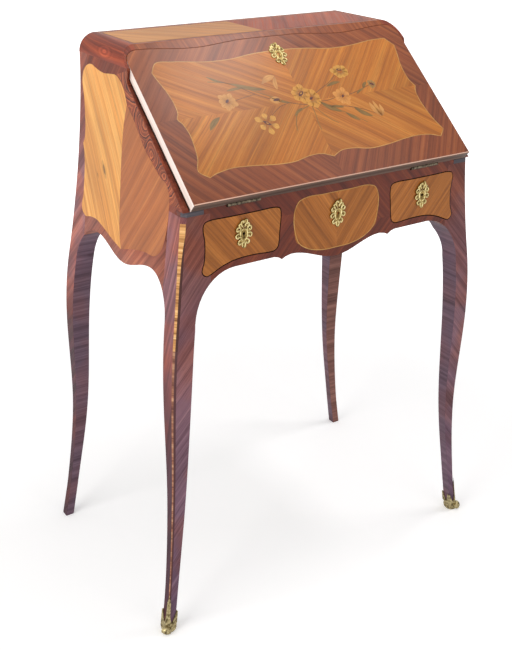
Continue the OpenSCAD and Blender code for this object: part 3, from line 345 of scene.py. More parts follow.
room = Nodes("room", bpy.data.worlds)
bpy.context.scene.world = room.owner
room.fill("Background", {"Color": (1.0, 0.985, 0.97, 1), "Strength": 0.58})
white = room.add("Background", {"Color": (1, 1, 1, 1), "Strength": 1.0})
dim = room.tree.nodes["Background"].outputs[0]
room.fill("World Output", {"Surface": room.add("MixShader", {0: room.background_rays(), 1: dim, 2: white})})

floor_mesh = bpy.data.meshes.new("floor")
floor_mesh.from_pydata([(-9, -9, 0), (9, -9, 0), (9, 9, 0), (-9, 9, 0)], [], [(0, 1, 2, 3)])
floor = bpy.data.objects.new("floor", floor_mesh)
bpy.context.scene.collection.objects.link(floor)
paper = Nodes("pale_floor")
near, far = 0.6, 2.1
away = paper.vector("LENGTH", paper.place(), out="Value")
fade = paper.span(away, near, far, 0.26, 0.9, interpolation_type="SMOOTHSTEP")
glow = paper.add("Emission", {"Strength": paper.math("MULTIPLY", fade, paper.background_rays())})
floor_mesh.materials.append(paper.shader((0.885, 0.895, 0.91, 1), 0.9, **{"Specular IOR Level": 0.1}))
matt = paper.tree.nodes["Principled BSDF"].outputs[0]
paper.fill("Material Output", {"Surface": paper.add("AddShader", {0: matt, 1: glow})})
bpy.context.scene.view_settings.view_transform = "Standard"
print(len(bpy.data.lights), "lamps, a white room and a pale floor")

# %% [markdown]
# Every piece here is a mesh made from whole arrays: rows and columns of points, or the corners of a
# solid of the frame. Each carries its own wood coordinates, in metres along and across the grain,
# because the figure of a veneer turns with the piece that was cut from it and not with the desk.


# %% Mesh helpers
def grid_faces(rows, cols, wrap=False):
    """Corner numbers of the quads of a grid of rows by cols points; wrap joins the last column to the first."""
    r, c = np.meshgrid(np.arange(rows - 1), np.arange(cols if wrap else cols - 1), indexing="ij")
    a = (r * cols + c).ravel()
    b = (r * cols + (c + 1) % cols).ravel()
    return np.stack([a, b, b + cols, a + cols], axis=-1)


@contextlib.contextmanager
def edited(mesh, merge=None):
    """The mesh open for editing, first with points closer than merge made one, and written back."""
    b = bmesh.new()
    b.from_mesh(mesh)
    if merge:
        bmesh.ops.remove_doubles(b, verts=b.verts, dist=merge)
    yield b
    b.to_mesh(mesh)
    b.free()


def numbers(items, name, width=1, kind=float):
    """A row of numbers for each vertex, corner or face of a mesh."""
    data = np.empty(len(items) * width, kind)
    items.foreach_get(name, data)
    return data.reshape(-1, width) if width > 1 else data


def corner_data(mesh):
    """Positions, face normals and face centres, one row for each corner of each face."""
    vertex = numbers(mesh.loops, "vertex_index", kind=np.int32)
    total = numbers(mesh.polygons, "loop_total", kind=np.int32)
    spread = np.repeat(np.arange(len(total)), total)
    normal, centre = (numbers(mesh.polygons, name, 3)[spread] for name in ("normal", "center"))
    return numbers(mesh.vertices, "co", 3)[vertex], normal, centre


def lay_grain(mesh, values):
    """Stores the wood coordinates on the corners: metres along and across the grain, and a sheet number."""
    mark = mesh.attributes.new("grain", "FLOAT_VECTOR", "CORNER")
    mark.data.foreach_set("vector", values.astype(np.float32).ravel())


def move(mesh, points):
    """Puts the vertices of a mesh in new places."""
    mesh.vertices.foreach_set("co", points.ravel())
    mesh.update()


def turned(a, b, degrees):
    """Coordinates along and across a grain that runs at that angle from the first axis."""
    t = np.radians(degrees)
    return a * np.cos(t) + b * np.sin(t), -a * np.sin(t) + b * np.cos(t)


def smooth_by_angle(mesh, degrees=25):
    """Smooth shading everywhere but over edges sharper than the angle."""
    limit = math.radians(degrees)
    with edited(mesh) as b:
        for f in b.faces:
            f.smooth = True
        for e in b.edges:
            e.smooth = len(e.link_faces) == 2 and e.calc_face_angle(0.0) < limit


def add_piece(name, mesh, body, finish):
    """Puts a mesh in the scene as a piece that rides on a body."""
    piece = bpy.data.objects.new(name, mesh)
    bpy.context.scene.collection.objects.link(piece)
    mesh.materials.clear()
    mesh.materials.append(finish)
    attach(piece, body)
    return piece


print("helpers ready")

# %% [markdown]
# French-polished veneer. Tulipwood and rosewood are both striped: pale sapwood and dark resin lie in
# long ribbons a few millimetres wide, with finer lines inside them and short open pores along the
# grain. The figure is noise stretched along the grain, three times over at different widths, bent a
# little so that no stripe is ruler-straight, and round a knot it bends more. The polish is a clear coat
# over a fairly matt wood. A finish can also change in clouds, where bleaching and wear have changed the
# wood's own tone, and with the height above the floor, which on some woods paints shade low down and
# sheen or a highlight higher up.


# %% Veneer finish
def veneer(name, dark, middle, light, stripe=95, contrast=0.5, pores=0.5, coat=0.24, shine=0.24, offset=0.0,
           turn=None, waviness=0.003, knots=(), rim=None, aloft=None, patch=None):
    """Striped, polished wood. dark, middle and light are its tones as the eye reads them; stripe is how
    many ribbons cross a metre; contrast widens the dark and light ones. turn, for solid timber, is the
    direction of its grain in the plane of the floor. knots are places along and across the grain with a
    radius and a darkness. rim is the tone behind the zero line of the wood coordinates, aloft a list of
    heights with factors of the colour, and patch such a factor for cloudy places. offset, and the last
    number of each drawn(), set one noise apart from the next."""
    n = Nodes(name)
    if turn is None:
        raw = n.own("grain", "Vector")
    else:
        raw = n.add("Mapping", {"Vector": n.place(), "Rotation": (0, 0, turn)})

    def drawn(vector, along, across, start):
        return n.stretched(vector, along, across, offset + start, 7.3 if turn is None else across)

    push = n.span(n.noise(drawn(raw, 4.0, 7.0, 3.1)), 0.25, 0.75, -waviness, waviness)
    grain = n.vector("ADD", raw, n.add("CombineXYZ", {"Y": push}))
    cores = []
    for along, across, size, core in knots:
        off = n.vector("ADD", raw, (-along, -across, 0))
        far = n.vector("LENGTH", n.vector("MULTIPLY", off, (0.4 / size, 1 / size, 0)), out="Value")
        tight = n.math("DIVIDE", -0.9, n.math("ADD", far, 0.9))
        grain = n.vector("ADD", grain, n.scaled(n.vector("MULTIPLY", off, (0, 1, 0)), tight))
        rings = n.math("SINE", n.math("MULTIPLY", far, 9.0))
        ringed_tone = n.math("MULTIPLY_ADD", rings, n.span(far, 0.2, 1.8, 0.3, 0.0), 1.0)
        cores.append(n.math("MULTIPLY", n.span(far, 0.3, 1.3, core, 1.0), ringed_tone))
    ribbons = n.noise(drawn(grain, 1.4, stripe, 0), 5.0, Roughness=0.62)
    spread = 0.6 + contrast
    tone = n.tones(ribbons, (0.5 - 0.26 / spread, dark), (0.5 + 0.24 / spread, light), (0.5, middle))
    lines = n.noise(drawn(grain, 9, stripe * 7, 11), 3.0)
    pore = n.span(n.noise(drawn(grain, 60, 1500, 31), 1.0), 0.60, 0.70, 1.0, 1.0 - 0.45 * pores)
    shade = n.math("MULTIPLY", n.span(lines, 0.3, 0.7, 0.84, 1.14),
                   n.span(n.noise(drawn(grain, 5, 11, 23)), 0.3, 0.7, 0.86, 1.14))
    vein = n.span(n.noise(drawn(grain, 1.6, stripe * 2.6, 41), 1.0), 0.60, 0.70, 1.0, 1.0 - 0.5 * contrast)
    for factor in [pore, vein] + cores:
        shade = n.math("MULTIPLY", shade, factor)
    colour = n.scaled(tone, shade)
    if patch:
        where = n.span(n.noise(n.place(), scale=11.0), 0.46, 0.60)
        colour = n.blend(where, colour, n.vector("MULTIPLY", colour, patch))
    # Factors of the colour by height: on the fall, the top and the outer faces of the legs they are painted shade,
    # sheen and highlight.
    if aloft:
        height = n.add("SeparateXYZ", {0: n.place()}, 2)
        halves = n.ramp(height, [(level, tuple(f / 2 for f in factor) + (1.0,)) for level, factor in aloft])
        colour = n.vector("MULTIPLY", colour, n.scaled(halves, 2.0))
    if rim:
        fade_width = 0.0007
        behind = n.span(n.add("SeparateXYZ", {0: raw}), 0.0, fade_width, 1.0, 0.0)
        colour = n.blend(behind, colour, linear(*rim))
    wave_height, pore_depth = 0.00045, 0.00004
    height = n.math("MULTIPLY_ADD", n.noise(drawn(raw, 14, 22, 5)), wave_height, 0.0)
    height = n.math("MULTIPLY_ADD", pore, pore_depth, height)
    normal = n.bump(height, 0.55, 1.0)
    return n.shader(colour, n.span(lines, 0.3, 0.7, 0.38, 0.52), (coat, shine), normal, **{"Coat Normal": normal})


print("veneer recipe ready")

# %% [markdown]
# The woods of the desk. The tulipwood is golden on the sides, orange on the fall and brown on the drawers
# that hands have rubbed. The rosewood is red-brown, and bleached to mauve and pink on the legs. Each line
# gives three tones, the ribbons in a metre, contrast, pores and polish, all matched to the photograph. The
# lists of heights change a wood on the way up: they paint shade at the foot of the fall, sheen at its top
# and on the top board, and a pale bluish highlight, a painted reflection, high on the outer faces of the
# legs; lower down the legs get darker and bluer, and the side panels paler and bluer towards their foot.

# %% Veneers of the desk
side_knots = [(*turned(0.257, 0.737, 59), 0.005, 0.35), (*turned(0.280, 0.722, 59), 0.002, 0.5)]
shoulder_knot = [(*turned(front_y + 0.262, 0.932, 4), 0.008, 1.45)]
# Painted shade at the foot of the fall and painted sheen towards its top.
fall_shade_and_sheen = [(0.737, (0.84, 0.80, 0.70)), (0.93, (1.04, 1.03, 0.97)), (0.83, (0.90, 0.93, 0.95))]
leg_light = [(0.0, (0.60, 0.60, 0.74)), (0.68, (0.90, 0.60, 0.38)), (0.16, (0.80, 0.78, 0.86)),
             (0.36, (1.05, 1.0, 1.0)), (0.56, (1.1, 0.88, 0.76))]
# Outer faces of the legs: darker and bluer low down, and from the knee up a pale bluish painted highlight, a
# reflection.
side_light = [(0.0, (0.38, 0.38, 0.60)), (0.90, (1.5, 1.2, 0.75)), (0.36, (0.38, 0.30, 0.46)),
              (0.44, (0.72, 0.52, 0.52)), (0.53, (1.4, 1.45, 1.5)), (0.62, (1.55, 1.85, 2.0)),
              (0.70, (1.4, 1.65, 1.8)), (0.78, (1.2, 1.1, 0.95))]
case_light = [(0.60, (1.75, 2.7, 3.6)), (0.90, (1.05, 0.95, 0.85)), (0.70, (1.15, 1.25, 1.4))]
# Painted sheen on the top of the fall's crossbanding and on the top board.
upper_sheen = [(0.87, (1.0, 1.0, 1.0)), (0.94, (1.28, 1.28, 1.1)), (0.75, (1.0, 1.0, 1.0))]
tulipwood = veneer("tulipwood", (144, 76, 22), (188, 111, 37), (214, 142, 58), 120, 0.26, aloft=fall_shade_and_sheen)
tulipwood_front = veneer("tulipwood_front", (112, 60, 20), (164, 98, 40), (192, 122, 56), 100, 0.4, offset=2.0)
tulipwood_side = veneer("tulipwood_golden", (172, 104, 46), (214, 146, 70), (234, 178, 100), 80, 0.42, 0.4,
                        offset=4.0, knots=side_knots)
tulipwood_deep = veneer("tulipwood_deep", (128, 66, 28), (164, 94, 46), (184, 113, 58), 85, 0.3, 0.4, offset=6.0)
tulipwood_pale = veneer("tulipwood_pale", (164, 102, 50), (200, 136, 76), (220, 160, 92), 50, 0.3, 0.3, 0.1,
                        offset=7.0)
rosewood = veneer("rosewood", (58, 20, 14), (104, 44, 28), (134, 66, 38), 95, 0.4, 0.7, offset=9.0)
rosewood_leg = veneer("rosewood_leg", (74, 46, 56), (124, 94, 108), (160, 126, 136), 95, 0.4, 0.7, 0.08,
                      offset=12.0, aloft=leg_light, patch=(1.1, 0.88, 0.7))
leg_sides = veneer("rosewood_leg_sides", (66, 34, 36), (106, 64, 66), (140, 92, 90), 90, 0.4, 0.7, 0.08,
                   offset=11.0, aloft=side_light, patch=(1.5, 1.1, 0.75))
leg_inside = veneer("rosewood_inside", (84, 54, 48), (128, 86, 78), (160, 116, 104), 100, 0.4, 0.5, 0.12, 0.3, 18.0)
rosewood_case = veneer("rosewood_case", (66, 26, 18), (112, 52, 36), (144, 78, 54), 85, 0.4, 0.7, 0.1,
                       offset=10.0, aloft=case_light, patch=(1.25, 1.1, 0.9))
rosewood_warm = veneer("rosewood_warm", (76, 32, 18), (130, 66, 36), (164, 94, 52), 95, 0.3, 0.6, offset=14.0,
                       aloft=upper_sheen)
rosewood_deep = veneer("rosewood_deep", (76, 26, 20), (138, 60, 38), (180, 88, 54), 110, 0.4, 0.6, 0.15,
                       offset=13.0, waviness=0.006, knots=shoulder_knot)
rosewood_pink = veneer("rosewood_pink", (116, 45, 22), (158, 71, 38), (178, 86, 46), 65, 0.5, 0.4, 0.1, offset=15.0)
# The darker, bluer mauve on the leg faces that look away from the light is painted shade.
mauve_wood = veneer("mauve_rosewood", (68, 50, 60), (100, 78, 92), (126, 102, 116), 110, 0.3, 0.5, 0.12, 0.3, 17.0,
                    patch=(1.15, 0.95, 0.85))
cross_strip = veneer("cross_strip", (104, 60, 34), (200, 144, 84), (232, 188, 130), 150, 0.9, 0.2, offset=19.0,
                     rim=(62, 30, 26))
cross_strip_low = veneer("cross_strip_low", (84, 46, 40), (150, 100, 76), (190, 146, 114), 110, 0.8, 0.2,
                         offset=19.5, rim=(74, 42, 44))
# Near-black: the worn dark edges of the drawer fronts, and painted shadow in the drawer openings of the apron,
# under the ends of the fall and in the crack beside it.
aged_dark = veneer("aged_dark", (22, 12, 10), (38, 22, 18), (58, 36, 30), 90, 0.4, 0.5, 0.0, 0.5, 24.0)
worn_wood = veneer("worn_edge", (70, 54, 46), (104, 84, 74), (134, 110, 98), 90, 0.4, 0.5, 0.1, 0.4, 26.0)
# A pale pink line on the lower arris of the fall: a painted highlight, on veneer that is also rubbed pale there.
worn_arris = veneer("worn_arris", (190, 140, 118), (220, 178, 156), (240, 206, 186), 60, 0.4, 0.2, 0.2, 0.3, 27.0)
# The end faces of the fall: bare pale wood, painted paler still as a highlight where the light strikes them.
bare_wood_highlight = veneer("bare_fall_ends", (214, 184, 170), (238, 218, 208), (250, 238, 232), 60, 0.3, 0.2, 0.1, 0.4,
                   20.0)
boxwood = veneer("boxwood_line", (160, 108, 50), (196, 146, 78), (214, 170, 102), 60, 0.3, 0.2, offset=22.0)
print("veneers:", [m.name for m in bpy.data.materials if m.node_tree and "wood" in m.name])

# %% [markdown]
# Oyster veneer is cut across a small branch, so it shows rings. The rings here are the distance from
# the nearest of a few chosen hearts, bent by noise, and turned into dark and light bands.


# %% Oyster finish
def ringed(name, hearts, dark, middle, light, pitch):
    """Rings round several hearts, given in metres as wood coordinates; pitch is rings in a metre."""
    n = Nodes(name)
    raw = n.own("grain", "Vector")
    bend = n.add("TexNoise", {"Vector": raw, "Scale": 30.0, "Detail": 3.0}, "Color")
    place = n.vector("ADD", raw, n.scaled(bend, 0.02))
    near = None
    for across, up in hearts:
        away = n.vector("DISTANCE", place, (across + 0.01, up + 0.01, 0.01), out="Value")
        near = away if near is None else n.math("MINIMUM", near, away)
    lines = n.noise(n.stretched(n.add("CombineXYZ", {"X": near}), pitch, 1.0), 3.0, Roughness=0.6)
    tone = n.tones(lines, (0.41, dark), (0.62, light), (0.49, middle))
    colour = n.scaled(tone, n.span(n.noise(raw, 3.0, 22.0), 0.3, 0.7, 0.6, 1.25))
    return n.shader(colour, n.span(lines, 0.0, 1.0, 0.36, 0.5), (0.15, 0.24), n.bump(lines, 0.12, 0.0005))


oyster = ringed("oyster_rosewood", [(0.122, 0.843), (0.165, 0.905), (0.060, 0.778), (0.100, 0.800)],
                (52, 20, 14), (130, 60, 34), (184, 100, 56), 300)
print("oyster hearts laid out")

# %% [markdown]
# Marquetry woods: thin stripes along each piece, a brown scorch at its foot, and the same polish as the
# ground. The greens were dyed and have faded to olive.


# %% Marquetry finishes
def inlay_wood(name, dark, light, burnt=(120, 74, 38), scorch=0.8):
    """Two tones in stripes along the piece, browned where the scorch value is high."""
    n = Nodes(name)
    lines = n.noise(n.stretched(n.own("grain", "Vector"), 60, 900), 3.0)
    burn = n.span(n.own("scorch", "Fac"), 0.45, 1.0, 0.0, scorch)
    colour = n.blend(burn, n.tones(lines, (0.35, dark), (0.65, light)), linear(*burnt))
    return n.shader(colour, n.span(lines, 0.0, 1.0, 0.36, 0.5), (0.24, 0.24))


yellow_petal = inlay_wood("yellow_petal", (192, 132, 50), (220, 164, 76))
golden_petal = inlay_wood("golden_petal", (190, 124, 42), (220, 160, 70), (112, 66, 30))
pale_petal = inlay_wood("pale_petal", (190, 128, 58), (214, 154, 82), (140, 84, 40), 0.6)
orange_petal = inlay_wood("orange_petal", (200, 128, 54), (224, 156, 80), (140, 84, 40), 0.6)
olive_petal = inlay_wood("olive_petal", (140, 104, 52), (176, 134, 74), (92, 66, 36))
green_wood = inlay_wood("green_dyed_wood", (116, 88, 40), (146, 112, 54), (90, 66, 34), 0.5)
stem_wood = inlay_wood("stem_wood", (104, 66, 32), (138, 90, 46), (84, 52, 28), 0.5)
heart_wood = inlay_wood("heart_wood", (70, 36, 30), (112, 62, 48), (50, 26, 24), 0.5)
print("marquetry woods ready")

# %% [markdown]
# The inside of the fall is lined with hide: fine grain, rubbed lighter in the middle, waxed. Oak
# linings are what the maker didn't mean to show: plain, coarse-pored, waxed and dusty. The blocks at the
# ends of the ledge are dark grey as painted shade, for they lie in the shadow of the fall.


# %% Leather and plain woods
def leather(name, dark, light):
    """Cells of grain as small bumps, with a slow change of tone."""
    n = Nodes(name)
    cells = n.add("TexVoronoi", {"Vector": n.place(), "Scale": 650.0}, feature="DISTANCE_TO_EDGE")
    cloud = n.noise(n.place(), 4.0, 9.0)
    colour = n.tones(cloud, (0.35, dark), (0.7, light))
    return n.shader(colour, n.span(cloud, 0.3, 0.7, 0.6, 0.42), normal=n.bump(cells, 0.35, 0.0004))


hide = leather("tooled_hide", (70, 26, 18), (112, 48, 32))
oak_tones = (112, 80, 48), (146, 108, 68), (168, 130, 88)
oak = veneer("waxed_oak", *oak_tones, 55, 0.4, 1.0, 0.05, 0.4, 21.0, math.pi / 2)
oak_across = veneer("waxed_oak_across", *oak_tones, 55, 0.4, 1.0, 0.05, 0.4, 25.0, 0.0)
# Dark grey for the ends of the ledge: painted shade, where the fall throws its shadow.
ebonised = veneer("ebonised", (44, 40, 44), (70, 64, 70), (98, 92, 98), 160, 0.4, 0.5, 0.2, 0.3, 29.0, 0.0)
print("leather and plain woods ready")

# %% [markdown]
# Brass and gilt bronze. The hinges and locks are plain brass gone brown and grey, brighter where
# fingers and keys rub. The mounts were cast, chased and fire-gilt: bright on the high places, with dirt
# and wax left in the hollows. The dirt follows noise, and the relief itself gives the light and dark.


# %% Metal finish
def metal(name, dull, bright, rough, grime, clouds=220.0, dents=704.0):
    """Tarnished metal: a dull and a bright tone mixed by cloudy noise, with grime in small pits. clouds and
    dents are cycles in a metre."""
    n = Nodes(name)
    cloud = n.noise(n.place(), 6.0, clouds, Roughness=0.6)
    colour = n.tones(cloud, (0.34, grime), (0.66, bright), (0.44, dull))
    hammered = n.bump(n.noise(n.place(), 3.0, dents), 0.25, 0.0004)
    return n.shader(colour, n.span(cloud, 0.3, 0.7, rough + 0.16, rough), normal=hammered, Metallic=1.0)


gilt = metal("gilt_bronze", (196, 180, 124), (230, 216, 166), 0.32, (120, 102, 62))
gilt_hollow = metal("gilt_hollows", (124, 102, 58), (172, 148, 92), 0.42, (64, 50, 28))
gilt_dull = metal("gilt_sabots", (134, 120, 84), (196, 182, 140), 0.38, (62, 54, 40))
hinge_brass = metal("hinge_brass", (84, 74, 62), (130, 118, 98), 0.36, (48, 42, 36))
brass = metal("old_brass", (122, 112, 86), (168, 156, 120), 0.34, (66, 60, 48))
print("metals ready")

# %% [markdown]
# The solids of the frame come as loose triangles. For the show woods a copy is merged back into flat
# facets, its long curves are shaded smooth, and its sharp edges are eased by half a millimetre, as
# scraping and two centuries of dusting do. The copy stands for the node. The grain runs across each
# face at an angle that depends on the way the face looks. Where a board is glued flush to its
# neighbour, its edges stay sharp.


# %% Planed copies of the solids
def ease_weights(b, tight):
    """Marks the edges to be eased: outer ones sharper than 32 degrees, but not where tight, a test of the
    place across, behind the front face and up, says that the board is glued to its neighbour."""
    weight = b.edges.layers.float.get("bevel_weight_edge") or b.edges.layers.float.new("bevel_weight_edge")
    for e in b.edges:
        middle = (e.verts[0].co + e.verts[1].co) / 2
        sharp = len(e.link_faces) == 2 and e.calc_face_angle_signed(0.0) > math.radians(32)
        e[weight] = 1.0 if sharp and not tight(middle.x, middle.y - front_y, middle.z) else 0.0


def planed(node, finish, angles=(0, 0, 0), ease=0.5, seed=0.0, others=(), tight=lambda x, y, z: False, flip=True,
           sink=0.0, cut=None, edge_finish=-1):
    """A copy of a node with eased edges, ease millimetres wide, but for those where tight is true of the
    middle. angles are the grain's directions on faces that look along Y, along X and along Z, in degrees
    from the first of the other two axes; on the left half they are mirrored if flip. others lists faces
    that get another wood: a test of their normals and centres, the finish, and the rule for its grain.
    sink lowers the highest points, to make room for veneer inside the outline of the solid. cut splits
    the faces at a height, and edge_finish is the number of the eased edges' finish."""
    mesh = frame["nodes"][node].data.copy()
    mesh.name = node + "_planed"
    with edited(mesh, merge=2e-6) as b:
        bmesh.ops.dissolve_limit(b, angle_limit=math.radians(0.4), verts=b.verts, edges=b.edges)
        if cut:
            everything = b.verts[:] + b.edges[:] + b.faces[:]
            bmesh.ops.bisect_plane(b, geom=everything, plane_co=(0, 0, cut), plane_no=(0, 0, 1))
        ease_weights(b, tight)
    if sink:
        co = numbers(mesh.vertices, "co", 3)
        move(mesh, co - np.where(co[:, 2:] > case_top - 1e-5, [0, 0, sink], 0.0))
    smooth_by_angle(mesh)
    point, normal, centre = corner_data(mesh)
    side = np.where((centre[:, 0] < 0) & flip, -1.0, 1.0)
    x, y, z = point[:, 0] * side, point[:, 1], point[:, 2]
    looks = np.abs(normal).argmax(axis=1)
    pairs = [turned(y, z, angles[1]), turned(x, z, angles[0]), turned(x, y, angles[2])]
    along, across = (np.choose(looks, [p[k] for p in pairs]) for k in (0, 1))
    first = np.cumsum(np.r_[0, [p.loop_total for p in mesh.polygons]])[:-1]
    kind = np.zeros(len(mesh.polygons), np.int32)
    for number, (test, stuff, rule) in enumerate(others):
        chosen = test(normal.T, centre.T)
        new_along, new_across = rule(x, y, z)
        along, across = np.where(chosen, new_along, along), np.where(chosen, new_across, across)
        kind[chosen[first]] = number + 1
    lay_grain(mesh, np.stack([along, across, seed + looks * 0.37 + side * 0.11], axis=-1))
    piece = add_piece(node + "_planed", mesh, home[node], finish)
    for test, stuff, rule in others:
        mesh.materials.append(stuff)
    mesh.polygons.foreach_set("material_index", kind)
    if ease:
        bevel = piece.modifiers.new("eased_edges", "BEVEL")
        bevel.width = ease * MM
        bevel.segments = 2
        bevel.limit_method = "WEIGHT"
        bevel.harden_normals = True
        bevel.material = edge_finish
    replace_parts(piece, node)


print("planing starts with", sum(slot.endswith("veneer") for slot in wood_slot.values()), "veneered nodes")

# %% [markdown]
# Some faces get another wood: the canted corner strips of the front legs; the outer faces of all the
# legs, with a painted highlight, and their shaded backs, in painted shade; the edges and openings of the
# drawers, near-black with wear and painted shadow; the bare ends of the fall, painted paler as a
# highlight, and the worn edge under it. Each is found by the way it looks and the place of its middle.


# %% Glued joints and faces with another wood
strip_width = [0, 0.239, 0.737], [2.5 * MM, 3.95 * MM, 7 * MM]  # at these heights


def strip_lines(x, y, z):
    """Wood coordinates of the corner strip: along its pieces, from the line where the light wood ends,
    and down the leg. The light wood fills the strip at the top and half of it lower down."""
    width = np.interp(z, *strip_width)
    lit = np.interp(z, [0, 0.4, 0.62, 0.672, 0.70], [0.5, 0.5, 0.56, 0.7, 1.0])
    front = front_y - lath(front_line, z)
    return 0.707 * (x + y - side_out(z) - front - width * (1 - 2 * lit)), z


def over_shoulder(x, y, z):
    """Wood coordinates unrolled over the shoulder: y, and the way up the side and round the curve."""
    r = 30 * MM  # radius of the shoulder
    mid_x, mid_z = half_w - r, case_top - r
    turn = np.arctan2(np.maximum(z - mid_z, 0), np.maximum(x - mid_x, 0))
    way = np.where(z < mid_z, z, np.where(x > mid_x, mid_z + r * turn, mid_z + r * math.pi / 2 + mid_x - x))
    return turned(y, way, 4)


strip_top, brown_top, leg_top = 0.719, 0.52, 0.70
glued = {
    # a leg from the brackets up, all but its outer corner
    "leg": lambda x, y, z: z > 0.548 and (abs(x) <= float(side_out(z)) - 8 * MM or 8 * MM <= y <= 345 * MM),
    # a side panel at both posts and the shoulder, but neither below nor along the slope
    "side": lambda x, y, z: z > 0.65 and abs((z - ledge_z) * math.cos(slope) - y * math.sin(slope)) > 1.5 * MM,
    # the front apron between the posts, the top board between the shoulders, a shoulder on top and side
    "apron": lambda x, y, z: abs(x) > 0.2425,
    "top": lambda x, y, z: abs(x) > 0.251,
    "shoulder": lambda x, y, z: abs(x) < 0.2535 or z < 0.917,
}
corner_strip, low_strip = (
    [lambda n, c, top=top: (abs(n[0]) > 0.45) & (n[1] < -0.45) & (c[2] < top), stuff, strip_lines]
    for top, stuff in ((strip_top, cross_strip), (brown_top, cross_strip_low)))
# The outer faces of the legs, which look towards the light, get a finish with a painted highlight from the knee up.
outsides, rear_outsides = (
    [lambda n, c: n[0] * np.sign(c[0]) > 0.6, leg_sides, lambda x, y, z, angle=angle: turned(y, z, angle)]
    for angle in (104, 132))
shaded = [lambda n, c: ((n[0] * np.sign(c[0]) < -0.6) | (n[1] * np.sign(c[1]) < -0.6)) & (c[2] < leg_top),
          mauve_wood, lambda x, y, z: (x + y, z)]
towards_front = [lambda n, c: (n[1] < -0.6) & (c[2] < leg_top) & (c[0] > 0), leg_inside,
                 lambda x, y, z: (x + y, z + 0.4)]
# Edges of a drawer front and the walls of its opening are near-black: partly wear, partly painted shadow of the gap
# round the drawer.
black_edges = [lambda n, c: abs(n[1]) < 0.5, aged_dark, lambda x, y, z: (x, z)]
black_walls = [lambda n, c: (abs(n[1]) < 0.5) & (c[2] < 0.73) & (abs(c[0]) < 0.258) & (abs(c[0]) > 0.108)
               & ((n[2] >= -0.3) | (c[2] > 0.70)), aged_dark, lambda x, y, z: (x, z)]
# The end faces of the fall get the pale wood with its painted highlight.
highlit_bare_ends = [lambda n, c: abs(n[0]) > 0.97, bare_wood_highlight, lambda x, y, z: (y * 0.75 + z * 0.66, z * 0.75 - y * 0.66)]
golden_corners = [lambda n, c: (abs(n[0]) > 0.3) & (abs(n[0]) <= 0.97), tulipwood_pale, lambda x, y, z: (y, z)]
worn_foot = [lambda n, c: n[1] * math.cos(slope) + n[2] * math.sin(slope) < -0.97, worn_wood,
             lambda x, y, z: (x, y * 3)]
block_sides = [lambda n, c: abs(n[0]) > 0.85, rosewood, lambda x, y, z: (y + z, y - z)]
unrolled = [lambda n, c: n[0] > -2, rosewood_deep, over_shoulder]
print("the corner strip is %.1f mm wide at the top of the leg" % (np.interp(strip_top, *strip_width) / MM))

# %% [markdown]
# Now each board of the case that shows is planed: first those that come in pairs, then the rest. Its line
# gives the wood, the directions of the grain, the width of the eased edges in millimetres, a number that
# makes its figure differ from the others, and the faces and joints that are treated apart.

# %% Plane the boards
for side in ("left", "right"):
    planed("front_" + side + "_leg", rosewood_leg, (-50, 52, 0), 0.6, 0.0,
           [shaded, outsides, corner_strip, low_strip], glued["leg"], cut=strip_top)
    planed("rear_" + side + "_leg", rosewood_leg, (-50, 132, 0), 0.6, 0.4, [shaded, towards_front, rear_outsides],
           glued["leg"])
    planed(side + "_side_panel", rosewood_case, (0, 132, 0), 0.5, 2.0, tight=glued["side"])
    planed(side + "_shoulder", rosewood_deep, (0, 4, 87), 0.5, 4.0, [unrolled], glued["shoulder"])
    planed(side + "_drawer_front", tulipwood_front, (49, 60, 90), 0.9, 8.0, [black_edges], edge_finish=1)
    planed(side + "_inner_drawer_front", tulipwood, ease=0.4, seed=9.0)
planed("front_apron", rosewood, (-48, 60, 90), 0.5, 1.0, [black_walls], glued["apron"])
planed("top_board", rosewood_warm, (90, 60, 78), 0.5, 6.0, tight=glued["top"],
       sink=0.3 * MM)
planed("fall_panel", rosewood_warm, (90, 60, 60), 0.5, 7.0, [highlit_bare_ends, golden_corners, worn_foot])
# The ledge ends in painted shade, their sides in rosewood.
planed("ledge_ends", ebonised, ease=0.8, others=[block_sides])
planed("centre_inner_drawer_front", tulipwood, ease=0.4, seed=10.0)
planed("centre_veneer_panel", tulipwood_front, (53, 0, 0), 0, 11.0)
planed("writing_bed", rosewood, ease=0.3, seed=12.0)
planed("well_cover", tulipwood, ease=0.3, seed=13.0)
planed("nest_dividers", rosewood, (90, 90, 90), 0.3, 14.0, flip=False)
planed("nest_shelves", rosewood, ease=0.3, seed=15.0, flip=False)

# %% [markdown]
# A veneer pattern starts as an outline on paper. The points below are in millimetres, and a smooth
# closed curve is drawn through them that breaks its direction only at the numbered corners. Every
# outline here can be seen whole from a point inside it, so it also has a distance from that point in
# each direction, and rings of veneer can be laid between one outline and the next along common spokes.


# %% Outlines and spokes
def outline(points, corners=(), steps=6):
    """A closed curve in metres through points: on each stretch a cubic; its direction at a point is the
    mean of the chords on either side, the shorter one counting more, and at a corner just the chord."""
    p = np.array(points, float) * MM
    n = len(p)
    reach_on = np.linalg.norm(np.roll(p, -1, 0) - p, axis=1)[:, None]
    chord = (np.roll(p, -1, 0) - p) / reach_on
    before, reach_back = np.roll(chord, 1, 0), np.roll(reach_on, 1, 0)
    mean = (before * reach_on + chord * reach_back) / (reach_on + reach_back)
    sharp = np.isin(np.arange(n), np.array(corners) % n)[:, None]
    start = (np.where(sharp, chord, mean) * reach_on)[:, None]
    end = (np.roll(np.where(sharp, before, mean), -1, 0) * reach_on)[:, None]
    t = (np.arange(steps) / steps)[None, :, None]
    a, b = p[:, None], np.roll(p, -1, 0)[:, None]
    curve = (2 * t**3 - 3 * t**2 + 1) * a + (t**3 - 2 * t**2 + t) * start
    curve += (3 * t**2 - 2 * t**3) * b + (t**3 - t**2) * end
    return curve.reshape(-1, 2)


